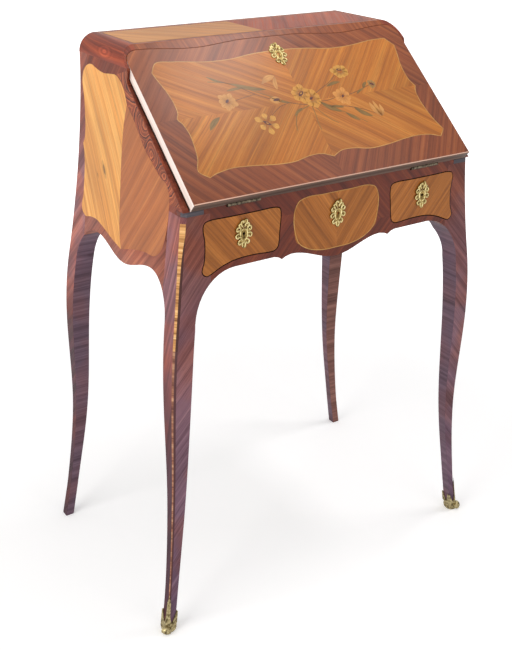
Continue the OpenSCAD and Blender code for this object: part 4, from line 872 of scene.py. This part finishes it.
def mirrored(half, middle=0.0):
    """The points of a right half, then the same points mirrored about x = middle in reverse order."""
    left = [[2 * middle - x, y] for x, y in reversed(half)]
    return half + [p for p in left if abs(p[0] - middle) > 0.01]


def widened(curve, margin):
    """The same closed curve moved outwards (it runs anticlockwise) by a margin."""
    along = np.roll(curve, -1, 0) - np.roll(curve, 1, 0)
    out = np.stack([along[:, 1], -along[:, 0]], axis=-1)
    return curve + margin * out / np.linalg.norm(out, axis=1)[:, None]


def angles_of(curve, centre):
    """The directions of the points of a curve from the centre."""
    return np.arctan2(curve[:, 1] - centre[1], curve[:, 0] - centre[0])


def spokes(centre, *curves):
    """The directions of all the points of the curves from the centre, and the four square-on ones."""
    square = np.array([-0.5, 0.0, 0.5, 1.0]) * math.pi
    a = np.sort(np.concatenate([square] + [angles_of(c, centre) for c in curves]))
    a = a[a > 1e-4 - math.pi]
    return a[np.r_[True, np.diff(a) > 1e-4]]


def radius(curve, centre, angles):
    """Distance from the centre to the curve in each direction, where the ray meets the chord between
    the two points of the curve on either side of it."""
    around = angles_of(curve, centre)
    order = np.argsort(around)
    a = np.r_[around[order], around[order][0] + 2 * math.pi]
    far = np.hypot(*(curve - centre).T)[order]
    far = np.r_[far, far[0]]
    turn = np.where(angles < a[0], angles + 2 * math.pi, angles)
    i = np.clip(np.searchsorted(a, turn, side="right") - 1, 0, len(a) - 2)
    pull = np.sin(a[i + 1] - turn) / far[i] + np.sin(turn - a[i]) / far[i + 1]
    return np.sin(a[i + 1] - a[i]) / pull


def ring(centre, inner, outer, angles, rows):
    """A grid of points between two curves: rows from one to the other, columns round the centre. With
    no inner curve the rows begin at the centre itself."""
    near = radius(inner, centre, angles) if inner is not None else 0 * angles
    far = radius(outer, centre, angles)
    t = np.linspace(0, 1, rows)[:, None]
    spoke = np.stack([np.cos(angles), np.sin(angles)], axis=-1)
    return np.array(centre) + (near + (far - near) * t)[..., None] * spoke


print("outline through 4 points:", outline([[0, 0], [10, 0], [10, 10], [0, 10]]).shape)

# %% [markdown]
# A sheet of veneer is laid by sending its flat grid through a chart, a tenth of a millimetre proud of
# the ground, with a thickness that goes down into it, so that it is a closed piece. The joints between
# leaves of veneer are lines of the grid, and each face asks a rule for the grain direction of the leaf
# that it belongs to.


# %% Sheets of veneer
def faced_outwards(points, chart, flat, faces):
    """Turns all the faces over if they look into the ground."""
    a, b, c, d = (points.reshape(-1, 3)[faces[:, i]] for i in range(4))
    normal = np.cross(c - a, d - b).sum(axis=0)
    u, v = flat.reshape(-1, 2).T
    up = (chart(u, v, MM) - chart(u, v, 0.0)).sum(axis=0)
    return faces if normal @ up > 0 else faces[:, ::-1]


veneer_mm, inlay_mm = 0.35, 0.2


def thicken(piece, thickness):
    """Gives a sheet a thickness in millimetres that reaches into the ground."""
    solid = piece.modifiers.new("thickness", "SOLIDIFY")
    solid.thickness = thickness * MM
    solid.offset = -1


def sheet(name, flat, chart, unfold, body, finish, rule, lift=0.10, slot_name="tulipwood_veneer", wrap=True):
    """Lays a grid of flat points on a chart, lifted by some tenths of a millimetre. rule gives the angle
    of the grain and the number of the leaf for flat face centres."""
    points = chart(flat[..., 0], flat[..., 1], lift * MM)
    faces = faced_outwards(points, chart, flat, grid_faces(*flat.shape[:2], wrap))
    mesh = bpy.data.meshes.new(name)
    mesh.from_pydata(points.reshape(-1, 3), [], faces.tolist())
    with edited(mesh, merge=1e-6):
        pass
    point, normal, centre = corner_data(mesh)
    angle, leaf = rule(unfold(centre))
    lay_grain(mesh, np.stack([*turned(*unfold(point).T, angle), leaf], axis=-1))
    smooth_by_angle(mesh)
    thicken(add_piece(name, mesh, body, finish), veneer_mm)


def quarters(centre, *angles, seed=0.0):
    """A rule for four leaves that meet at a centre, with the angles of the upper left, upper right, lower
    left and lower right one."""
    def rule(c):
        which = (c[:, 0] > centre[0]) * 1 + (c[:, 1] < centre[1]) * 2
        return np.array(angles)[which], seed + which * 1.9
    return rule


def single(angle, seed=0.0):
    """A rule for one leaf."""
    return lambda c: (angle + 0 * c[:, 0], seed + 0 * c[:, 0])


def crossed(one, other):
    """A grid of flat points over two rows of values in millimetres."""
    return np.stack(np.meshgrid(one, other), axis=-1) * MM


print("sheets are %.2f mm thick, inlays %.2f mm" % (veneer_mm, inlay_mm))

# %% [markdown]
# The slope is the face of the desk. Four leaves of tulipwood meet in its middle, with the grain of each
# running towards the centre, and a line of box runs round their waved edge. Outside it the crossbanding
# is again in four parts whose grain runs against that of the leaf beside it.

# %% Veneer of the fall
fall_centre = np.array([3, 150]) * MM
field_half = [[3, 41], [22, 49], [46, 49.5], [80, 43.5], [115, 44.5], [160, 50], [197, 51.5], [225, 47],
              [237, 42], [251, 55], [243, 75], [238, 100], [236.5, 125], [240, 142], [245, 150], [240, 160],
              [238, 178], [241, 202], [248, 228], [251, 241], [238, 258], [210, 257.5], [150, 250.5],
              [105, 250], [60, 255.5], [3, 258]]
field_edge = outline(mirrored(field_half, 3), [0, 8, 9, 14, 19, 20, -7, -8, -13, -18, -19], 5)
fall_half, fall_corner, fall_top = 277.4, 24, 287.8
turn_a = np.radians(np.linspace(0, 90, 8))
turn_b = np.linspace(0, 1, 9)[1:]
fall_right = [[0, 0.9], [fall_half, 0.9]]
fall_right += np.stack([fall_half - fall_corner * (1 - np.cos(turn_a)),
                        fall_top - fall_corner * (1 - np.sin(turn_a))], axis=-1).tolist()
fall_right += np.stack([254 - 208 * turn_b, fall_top - 3.75 * (1 - np.cos(2 * math.pi * turn_b))], axis=-1).tolist()
fall_right += [[0, fall_top]]
fall_edge = outline(mirrored(fall_right), range(2 * len(fall_right)), 4)
fall_spokes = spokes(fall_centre, field_edge, fall_edge)
box_edge = widened(field_edge, 1.3 * MM)
for name, inner, outer, rows, finish, rule, *more in (
        ("fall_field", None, field_edge, 3, tulipwood, quarters(fall_centre, -31, 45, 43, -40)),
        ("fall_crossband", box_edge, fall_edge, 3, rosewood_warm, quarters(fall_centre, 48, -46, -52, 52, seed=3.0),
         0.10, "rosewood_veneer"),
        ("fall_stringing", field_edge, box_edge, 2, boxwood, single(0), 0.13)):
    leaves = ring(fall_centre, inner, outer, fall_spokes, rows)
    sheet(name, leaves, on_fall, unfold_fall, "fall", finish, rule, *more)
# Along the lower arris of the fall lies a painted highlight, where the veneer is also rubbed pale.
sheet("worn_lower_arris", crossed(np.linspace(-277, 277, 25), [0.4, 2.2]), on_fall, unfold_fall, "fall", worn_arris,
      single(0, 4.0), 0.14, wrap=False)
print("fall: %d spokes" % len(fall_spokes))

# %% [markdown]
# Each side of the case has two leaves. The rear one, golden, stands upright under a waved top, and the
# front one follows the slope. They meet on an upright joint that isn't quite straight. Between them
# and the slope lies a band of oyster-cut rosewood, whose rings are branches cut across.

# %% Veneer of the sides
joint = [[183, 622], [192, 650], [197, 700], [198, 750], [196, 792], [190, 832], [181, 861]]
rear_field = joint + [[190, 881], [202, 894], [216, 901], [236, 900], [262, 897], [286, 900], [306, 904],
                      [325, 898], [338, 885], [341, 868], [336, 846], [332, 815], [331, 788], [334, 771],
                      [339, 763], [335, 752], [332, 735], [331, 700], [332, 670], [335, 655], [331, 645],
                      [320, 639], [300, 643], [278, 645], [250, 639], [215, 629]]
front_field = joint + [[162, 846], [137, 820], [117, 801], [97, 789], [73, 774], [50, 765], [41, 750],
                       [41, 722], [45, 692], [54, 664], [72, 647], [104, 643], [142, 635]]
rear_edge = outline(rear_field, [0, 6, 21], 4)
front_edge = outline(front_field, [0, 6, 13], 4)
rear_centre, front_centre = np.array([265, 770]) * MM, np.array([125, 715]) * MM
rear_leaf = ring(rear_centre, None, rear_edge, spokes(rear_centre, rear_edge), 22)
front_leaf = ring(front_centre, None, front_edge, spokes(front_centre, front_edge), 20)
for sign, side in SIDES:
    chart = on_side(sign)
    sheet(side + "_rear_field", rear_leaf, chart, unfold_side, "case", tulipwood_side, single(59, 1.0))
    sheet(side + "_front_field", front_leaf, chart, unfold_side, "case", tulipwood_deep, single(127, 2.0))
print("side fields have %d and %d points round" % (len(rear_edge), len(front_edge)))

# %% [markdown]
# The ends of the fall are bare, pale wood, painted paler as a highlight. The rebate under them and the
# crack between the fall and the side lie in shadow, which is painted: thin dark strips laid along the slope.


# %% Painted shadows beside the fall
def beside_fall(sign):
    """Ends of the fall: v up the slope and n out from its inner face, standing out sideways."""
    return lambda v, n, lift: on_slope(sign * (fall_end + lift), v, n)


def on_rebate(sign):
    """The sloping edge of the side: x across, v up the slope."""
    return lambda x, v, lift: on_slope(sign * x, v, lift)


fall_end = 0.278
narrow = {"lift": 0.08, "slot_name": "rosewood_veneer", "wrap": False}
lipping = crossed(np.linspace(2, 262, 14), [0.4, 1.4, 2.6])
crack = crossed([278.2, 279.2], np.linspace(2, 236, 12))
for sign, side in SIDES:
    sheet(side + "_fall_lipping", lipping, beside_fall(sign), unfold_top, "fall", aged_dark, single(0), **narrow)
    sheet(side + "_dark_crack", crack, on_rebate(sign), unfold_top, "case", aged_dark, single(0), **narrow)
print("dark strips laid")

# %% [markdown]
# Between the slope and the upright fields runs a band of oyster-cut rosewood, with branches cut across.
# It is drawn between two lines, the slope with its little crest at the top and the edge of the fields,
# and a narrow edging of straight-grained wood lies on the rebate beside the fall.


# %% Oyster bands
def resampled(points, count):
    """The same open line in metres with a number of points spaced evenly along it."""
    p = np.asarray(points, float) * MM
    run = np.r_[0, np.cumsum(np.linalg.norm(np.diff(p, axis=0), axis=1))]
    at = np.linspace(0, run[-1], count)
    return np.stack([np.interp(at, run, p[:, 0]), np.interp(at, run, p[:, 1])], axis=-1)


crest = np.linspace(0, 1, 7)[1:]
line_v = np.r_[9, 40, 80, 120, 160, 200, 237, 237 + 14 * crest]
line_n = np.r_[np.zeros(7), 8.4 * (1 - np.cos(math.pi * crest))]
slope_side = np.stack([line_v * math.cos(slope) - line_n * math.sin(slope) + 0.9,
                       737 + line_v * math.sin(slope) + line_n * math.cos(slope) - 0.6], axis=-1)
band_side = [[40, 738], [44, 757], [52, 766.5], [73, 775], [97, 790], [117, 802], [137, 821], [162, 847.5],
             [181, 863], [188, 880], [201, 895.5], [215, 903]]
share = np.linspace(0, 1, 8)[:, None, None]
oyster_band = resampled(band_side, 48) * (1 - share) + resampled(slope_side, 48) * share
edging = crossed([279.2, 283.2], np.linspace(9, 236, 20))
for sign, side in SIDES:
    sheet(side + "_oyster_band", oyster_band, on_side(sign), unfold_side, "case", oyster, single(0), **narrow)
    sheet(side + "_oyster_edge", edging, on_rebate(sign), unfold_side, "case", rosewood, single(75, 3.0), **narrow)
print("oyster band of", oyster_band.shape[:2], "points on each side")

# %% [markdown]
# The top has two broad leaves, a light one on the left and a redder one on the right, with a narrow
# band left free round them.

# %% Veneer of the top
top_grid = crossed(np.linspace(-247, 247, 41), np.linspace(223, 336, 5))
sheet("top_left_leaf", top_grid[:, :21], on_top, unfold_top, "case", tulipwood_pale, single(-52, 5.0), wrap=False)
sheet("top_right_leaf", top_grid[:, 20:], on_top, unfold_top, "case", rosewood_pink, single(56, 6.0), 0.10,
      "rosewood_veneer", wrap=False)
print("top laid in two leaves")

# %% [markdown]
# A line of box also runs round the false front in the middle of the apron.

# %% Stringing of the false front
middle_half = [[0, 628.5], [32, 629.5], [63, 639], [77, 650], [82, 662], [86.5, 692], [84.5, 706], [77, 718],
               [67, 721.5], [29, 722]]
middle_edge = outline(mirrored(middle_half), [], 5)
middle_spokes = spokes((0, 0.68), middle_edge)
sheet("middle_field", ring((0, 0.68), None, middle_edge, middle_spokes, 6), on_front, unfold_front, "case",
      tulipwood_front, quarters((0, 0.5), -53, 53, 0, 0, seed=2.0), 0.08)
sheet("middle_stringing", ring((0, 0.68), middle_edge, widened(middle_edge, 1.2 * MM), middle_spokes, 2),
      on_front, unfold_front, "case", boxwood, single(0), 0.16)
print("apron stringing has", len(middle_spokes), "points round")

# %% [markdown]
# The marquetry is a spray of garden flowers on leafless stems. A petal or a leaf is one shape, pointed
# at its foot and tip and full between them, and a stem is a ribbon of even width. The cutter dipped the
# foot of each petal in hot sand, which scorched it brown, so every piece carries a scorch value too.
# Pieces of one wood are collected in one mesh.


# %% Marquetry shapes
def leaf(foot, tip, width, bend=0.0, full=1.0, rows=11, cols=5):
    """A leaf from foot to tip: its half width is a sine over the length, fuller towards the tip when
    full is above 1, and its middle line bows sideways by a sine. Returns points, grain and scorch."""
    foot, tip = np.array(foot, float) * MM, np.array(tip, float) * MM
    t, s = np.meshgrid(np.linspace(0, 1, rows), np.linspace(-1, 1, cols), indexing="ij")
    axis = tip - foot
    long = np.linalg.norm(axis)
    side = np.array([-axis[1], axis[0]]) / long
    off = bend * MM * np.sin(math.pi * t) + width * MM / 2 * np.sin(math.pi * t**full) ** 0.75 * s
    points = foot + t[..., None] * axis + off[..., None] * side
    return points, np.stack([t * long, s * width * MM / 2], axis=-1), 1 - t


def ribbon(points, steps):
    """A smooth open curve through points, and the unit vector to its left at each of its own points."""
    closed = outline(points + points[::-1][1:-1], [0, len(points) - 1], steps)
    line = closed[:(len(points) - 1) * steps + 1]
    way = np.gradient(line, axis=0)
    return line, np.stack([-way[:, 1], way[:, 0]], axis=-1) / np.linalg.norm(way, axis=1)[:, None]


def stem(points, width, steps=6):
    """A ribbon of even width along a smooth open curve through points."""
    line, side = ribbon(points, steps)
    s = np.linspace(-1, 1, 3)
    flat = line[:, None] + side[:, None] * s[None, :, None] * width * MM / 2
    run = np.r_[0, np.cumsum(np.linalg.norm(np.diff(line, axis=0), axis=1))]
    return flat, np.stack(np.broadcast_arrays(run[:, None], s * width * MM / 2), axis=-1), 0.3 + 0 * flat[..., 0]


def flower(centre, petals, near, far, width, start=0.0, full=1.5, squash=1.0):
    """Petals round a centre, each a leaf from the near to the far distance."""
    shapes = []
    for i in range(petals):
        a = math.radians(start + 360 * i / petals)
        way = np.array([math.cos(a), math.sin(a) * squash])
        reach = far * (1 + 0.12 * math.sin(2.6 * i + start))
        shapes.append(leaf(np.array(centre) + near * way, np.array(centre) + reach * way, width, 0.0, full))
    return shapes


def inlay(name, shapes, finish, lift, chart=on_fall):
    """Lays a list of shapes on the fall as one piece. Each keeps its own wood coordinates and scorch."""
    flats, faces, grains, burns, count = [], [], [], [], 0
    for number, (flat, grain, burn) in enumerate(shapes):
        points = chart(flat[..., 0], flat[..., 1], 0.0)
        faces.append(faced_outwards(points, chart, flat, grid_faces(*flat.shape[:2])) + count)
        flats.append(flat.reshape(-1, 2))
        grains.append(np.c_[grain.reshape(-1, 2), np.full(burn.size, 1.3 * number)])
        burns.append(burn.ravel())
        count += burn.size
    mesh = bpy.data.meshes.new(name)
    mesh.from_pydata(chart(*np.concatenate(flats).T, lift * MM), [], np.concatenate(faces).tolist())
    vertex = numbers(mesh.loops, "vertex_index", kind=np.int32)
    lay_grain(mesh, np.concatenate(grains)[vertex])
    mark = mesh.attributes.new("scorch", "FLOAT", "CORNER")
    mark.data.foreach_set("value", np.concatenate(burns)[vertex].astype(np.float32))
    with edited(mesh, merge=5e-6) as b:
        bmesh.ops.dissolve_degenerate(b, edges=b.edges, dist=2e-6)
    thicken(add_piece(name, mesh, "fall", finish), inlay_mm)


print("a petal has", leaf([0, 0], [0, 20], 8)[0].shape[:2], "points")

# %% [markdown]
# The spray itself, in millimetres across and up the fall. The leaves lie over the stems and the flowers
# over the leaves, each a few hundredths of a millimetre higher, so that no two pieces share a surface.

# %% The spray on the fall
inlay("spray_stems", [
    stem([[12, 143], [-8, 146], [-30, 153], [-58, 163], [-84, 178], [-112, 198], [-140, 213]], 1.5),
    stem([[-26, 152], [-46, 148], [-66, 137], [-80, 127]], 1.1),
    stem([[-84, 177], [-104, 174], [-126, 170]], 1.2),
    stem([[26, 160], [46, 170], [68, 180], [92, 196]], 1.3),
    stem([[24, 148], [46, 146], [66, 149], [100, 152], [146, 164]], 1.2),
    stem([[22, 143], [48, 136], [84, 128], [122, 112], [140, 100]], 1.2)], stem_wood, 0.14)
inlay("spray_green_stems", [
    stem([[-36, 155], [-50, 166], [-70, 176], [-94, 190], [-128, 206], [-158, 212]], 1.3),
    stem([[34, 137], [60, 124], [82, 110], [104, 92]], 1.2),
    stem([[10, 142], [-6, 137], [-24, 128], [-34, 113], [-40, 98]], 1.6),
    stem([[12, 141], [10, 122], [7, 106], [6, 92]], 1.4),
    stem([[15, 140], [24, 124], [34, 110], [46, 100]], 1.4)], green_wood, 0.14)
inlay("spray_green_leaves", [
    leaf([-58, 183], [-120, 204], 8, 3), leaf([-166, 144], [-194, 122], 9, -2), leaf([60, 173], [93, 179], 6, 2),
    leaf([30, 147], [66, 120], 9, -3), leaf([92, 125], [121, 102], 9, -2), leaf([-24, 151], [-60, 168], 5, 2),
    leaf([-8, 139], [-31, 125], 5, -1), leaf([132, 160], [146, 172], 6, 1), leaf([112, 150], [134, 160], 4, 1),
    leaf([46, 133], [74, 128], 5, 1), leaf([70, 117], [92, 98], 6, -1), leaf([-98, 192], [-132, 190], 5, -1),
    leaf([-130, 206], [-156, 222], 5, 1)],
    green_wood, 0.16)
inlay("spray_pale_leaves", [
    leaf([-62, 194], [-30, 208], 11, 3, 1.3), leaf([-29, 207], [-38, 180], 8, -2, 1.2),
    leaf([-38, 159], [-62, 162], 14, 0), leaf([140, 99], [128, 131], 10, 2, 0.9),
    leaf([140, 99], [137, 133], 8, 0, 0.9), leaf([141, 100], [147, 124], 8, -2, 0.9)], pale_petal, 0.16)
inlay("left_flower", flower([-139, 170], 9, 3, 17, 10, 12), pale_petal, 0.17)
inlay("upper_flower", flower([104, 200], 9, 4, 19, 10.5, 4, squash=0.72), yellow_petal, 0.17)
inlay("right_flower", flower([82, 150], 8, 3, 18, 11, 18), orange_petal, 0.17)
inlay("small_flower", flower([155, 166], 6, 2, 9, 7, 10), olive_petal, 0.17)
inlay("star_flower", flower([-87, 120], 6, 5, 21, 11, 28, 1.7), yellow_petal, 0.17)
inlay("rose_back", flower([18, 155], 8, 4, 20, 14, 10), golden_petal, 0.16)
inlay("rose_front", flower([3, 166], 8, 4, 18.5, 13, 30), golden_petal, 0.20)
inlay("flower_hearts", [
    leaf([-3, 162], [9, 170], 6.5, 0, 1), leaf([14, 152], [22, 157], 5, 0, 1),
    leaf([-94, 125], [-82, 115], 5.5, 0, 1), leaf([98, 205], [109, 202], 4.5, 0, 1),
    leaf([-143, 168], [-136, 174], 5, 0, 1),
    leaf([151, 169], [159, 163], 4.5, 0, 1), leaf([80, 147], [85, 153], 4, 0, 1),
    leaf([-56, 160], [-42, 162], 5, 0, 1)], heart_wood, 0.23)
inlay("flower_eyes", [
    leaf([0, 165], [6, 168], 2.4), leaf([101, 204], [106, 203], 1.6), leaf([-90, 122], [-86, 118], 2)],
    golden_petal, 0.25)
spray = [o.name for o in bpy.data.objects if any(word in o.name for word in ("flower", "spray", "rose_"))]
print("marquetry pieces:", len(spray))

# %% [markdown]
# The hide on the inside of the fall was tooled with a hot wheel and gold leaf: two lines round the edge
# and a small fan of leaves in each corner. They are thin shapes like those of the marquetry, on a chart
# of the inner face.


# %% Gilt tooling of the leather
def on_inside(u, v, lift):
    """Inner face of the closed fall, where the leather looks out."""
    return on_slope(u, v, hide_face - lift)


def rectangle(inset):
    """A rectangle inside the edge of the leather, in metres."""
    u, low, high = hide_u - inset, hide_low + inset, hide_high - inset
    return outline([[-u, low], [u, low], [u, high], [-u, high]], range(4), 6)


hide_face = 0.2 * MM
hide_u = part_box("fall_leather")[1][0] / MM
hide_low, hide_high = [(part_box("fall_leather")[k][2] - ledge_z) / math.sin(slope) / MM for k in (0, 1)]
hide_middle = np.array([0, (hide_low + hide_high) / 2]) * MM
for number, (out, inner) in enumerate(((6, 7.6), (9.6, 10.2))):
    a, b = rectangle(out), rectangle(inner)
    sheet("tooled_line_%d" % number, ring(hide_middle, b, a, spokes(hide_middle, a, b), 2), on_inside, unfold_fall,
          "fall", gilt, single(0), 0.05, "tooled_leather")
fans, inset = [], 13
for sx in (-1, 1):
    for v0, sv in ((hide_low, 1), (hide_high, -1)):
        foot = np.array([sx * (hide_u - inset), v0 + sv * inset])
        for bearing, reach in ((0, 15), (22, 19), (45, 23), (68, 19), (90, 15)):
            way = np.array([-sx * math.cos(math.radians(bearing)), sv * math.sin(math.radians(bearing))])
            fans.append(leaf(foot + 2 * way, foot + reach * way, 3.2))
inlay("tooled_fans", fans, gilt, 0.05, on_inside)
print("leather tooled with", len(fans), "leaves")

# %% [markdown]
# The key plates are small rocaille castings. Each is a flat ground, pierced between its lobes and dark
# with old wax, on which lie scrolls that catch the light. A scroll is a round bar that swells in its
# middle and dies away at both ends, laid along a curl; the curls at the sides come in pairs, and the
# crest leans to one side as such plates do.


# %% Key plates
def scroll(points, width, steps=5, rim=8):
    """A swelling bar along a smooth open curve: its half width is a root of a sine over the length, and
    its section a half-sunk ellipse. Returns flat points and heights."""
    line, side = ribbon(points, steps)
    half = width * 0.43 * MM * (0.04 + 0.96 * np.sin(math.pi * np.linspace(0, 1, len(line))) ** 0.45)
    a = np.linspace(0, 2 * math.pi, rim, endpoint=False)
    flat = line[:, None] + side[:, None] * (half[:, None] * np.cos(a))[..., None]
    return flat, 1.15 * MM + 0.9 * half[:, None] * np.sin(a)


paired = [([[0.6, 8.2], [5.4, 5.5], [6.6, -1], [5.2, -8], [0.8, -12.6]], 2.6),
          ([[6.5, 3], [7.4, 9.5], [10.5, 12], [13.8, 9.5], [13, 5.5], [9.8, 6], [10, 8.6]], 2.3),
          ([[6.8, 0.5], [10.5, 1], [14.6, -1], [14.8, -5], [11.5, -6.8], [9.4, -4.6], [11, -3]], 2.2),
          ([[4.6, -8.5], [8.6, -10.5], [10.6, -14.4], [8, -17.6], [5.2, -15.8], [6.8, -13.8]], 2.2),
          ([[4.4, 8.8], [7.6, 11.6], [9.6, 15.4], [7.4, 17.4], [5.6, 15]], 2.0),
          ([[0.6, -13], [2.9, -17], [2.7, -20.8], [0.9, -23.2]], 2.4)]
crest = [([[-0.6, 9.4], [-3.6, 13], [-6, 17.6], [-4, 21.6], [-0.6, 20.6], [-1.6, 17.4]], 2.4),
         ([[1.4, 10], [2.4, 15], [5.6, 18.6], [5.8, 22.4], [3.2, 23]], 2.2)]
curls = paired + [([[-x, z] for x, z in points], width) for points, width in paired] + crest
curl_scale = 0.96


def key_plate(node, chart):
    """The pierced ground of a plate, half as thick as the solid, and its scrolls."""
    mesh = frame["nodes"][node].data.copy()
    mesh.name = node + "_ground"
    with edited(mesh, merge=2e-6):
        pass
    co = numbers(mesh.vertices, "co", 3)
    outward = chart(0.0, 0.0, 1.0) - chart(0.0, 0.0, 0.0)
    high = (co - chart(0.0, 0.0, 0.0)) @ outward
    move(mesh, co - 0.5 * high[:, None] * outward)
    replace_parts(add_piece(node + "_ground", mesh, home[node], gilt_hollow), node)
    points, faces, count = [], [], 0
    for curl, width in curls:
        flat, rise = scroll((np.array(curl) * curl_scale).tolist(), width)
        points.append(chart(flat[..., 0], flat[..., 1], rise).reshape(-1, 3))
        rows, rim = flat.shape[:2]
        faces += (grid_faces(rows, rim, True) + count).tolist()
        faces += [(np.arange(rim)[::-1] + count).tolist(), (np.arange(rim) + (rows - 1) * rim + count).tolist()]
        count += rows * rim
    relief = bpy.data.meshes.new(node + "_scrolls")
    relief.from_pydata(np.concatenate(points), [], faces)
    with edited(relief) as b:
        bmesh.ops.recalc_face_normals(b, faces=b.faces)
    smooth_by_angle(relief, 60)
    add_piece(node + "_scrolls", relief, home[node], gilt)


def on_plate(x0, back):
    """A flat plate on the front of the case: x and z from its middle and height from its back."""
    return lambda x, z, high: np.stack([x0 + x, back - high, drawer_lock_z + z], axis=-1)


drawer_lock_z, fall_lock_v = 0.686, 249.8 * MM
for node, x0 in (("left_drawer_escutcheon", -183.5), ("centre_escutcheon", 0), ("right_drawer_escutcheon", 183.5)):
    key_plate(node, on_plate(x0 * MM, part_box(node)[1][1]))
key_plate("fall_escutcheon", lambda u, v, high: on_fall(u, v + fall_lock_v, high))
print("key plates have", len(curls), "scrolls each")

# %% [markdown]
# The other nodes keep their own solids and only get a finish: oak for the linings, with the grain across
# the backs, leather for the writing surface, and metal for the hinges, the locks and the sabots.

# %% Carcass boards that keep their own solids
carcass = {"oak": oak, "brass": brass, "gilt_bronze": gilt, "tooled_leather": hide}
for node, part in frame["nodes"].items():
    stuff = carcass.get(wood_slot[node])
    if stuff:
        if node.endswith("_back") or node == "back_panel":
            stuff = oak_across
        if "sabot" in node:
            stuff = gilt_dull
        if "hinge" in node:
            stuff = hinge_brass
        part.data.materials.clear()
        part.data.materials.append(stuff)
print("nodes given oak, metal or leather:", sum(wood_slot[node] in carcass for node in frame["nodes"]))
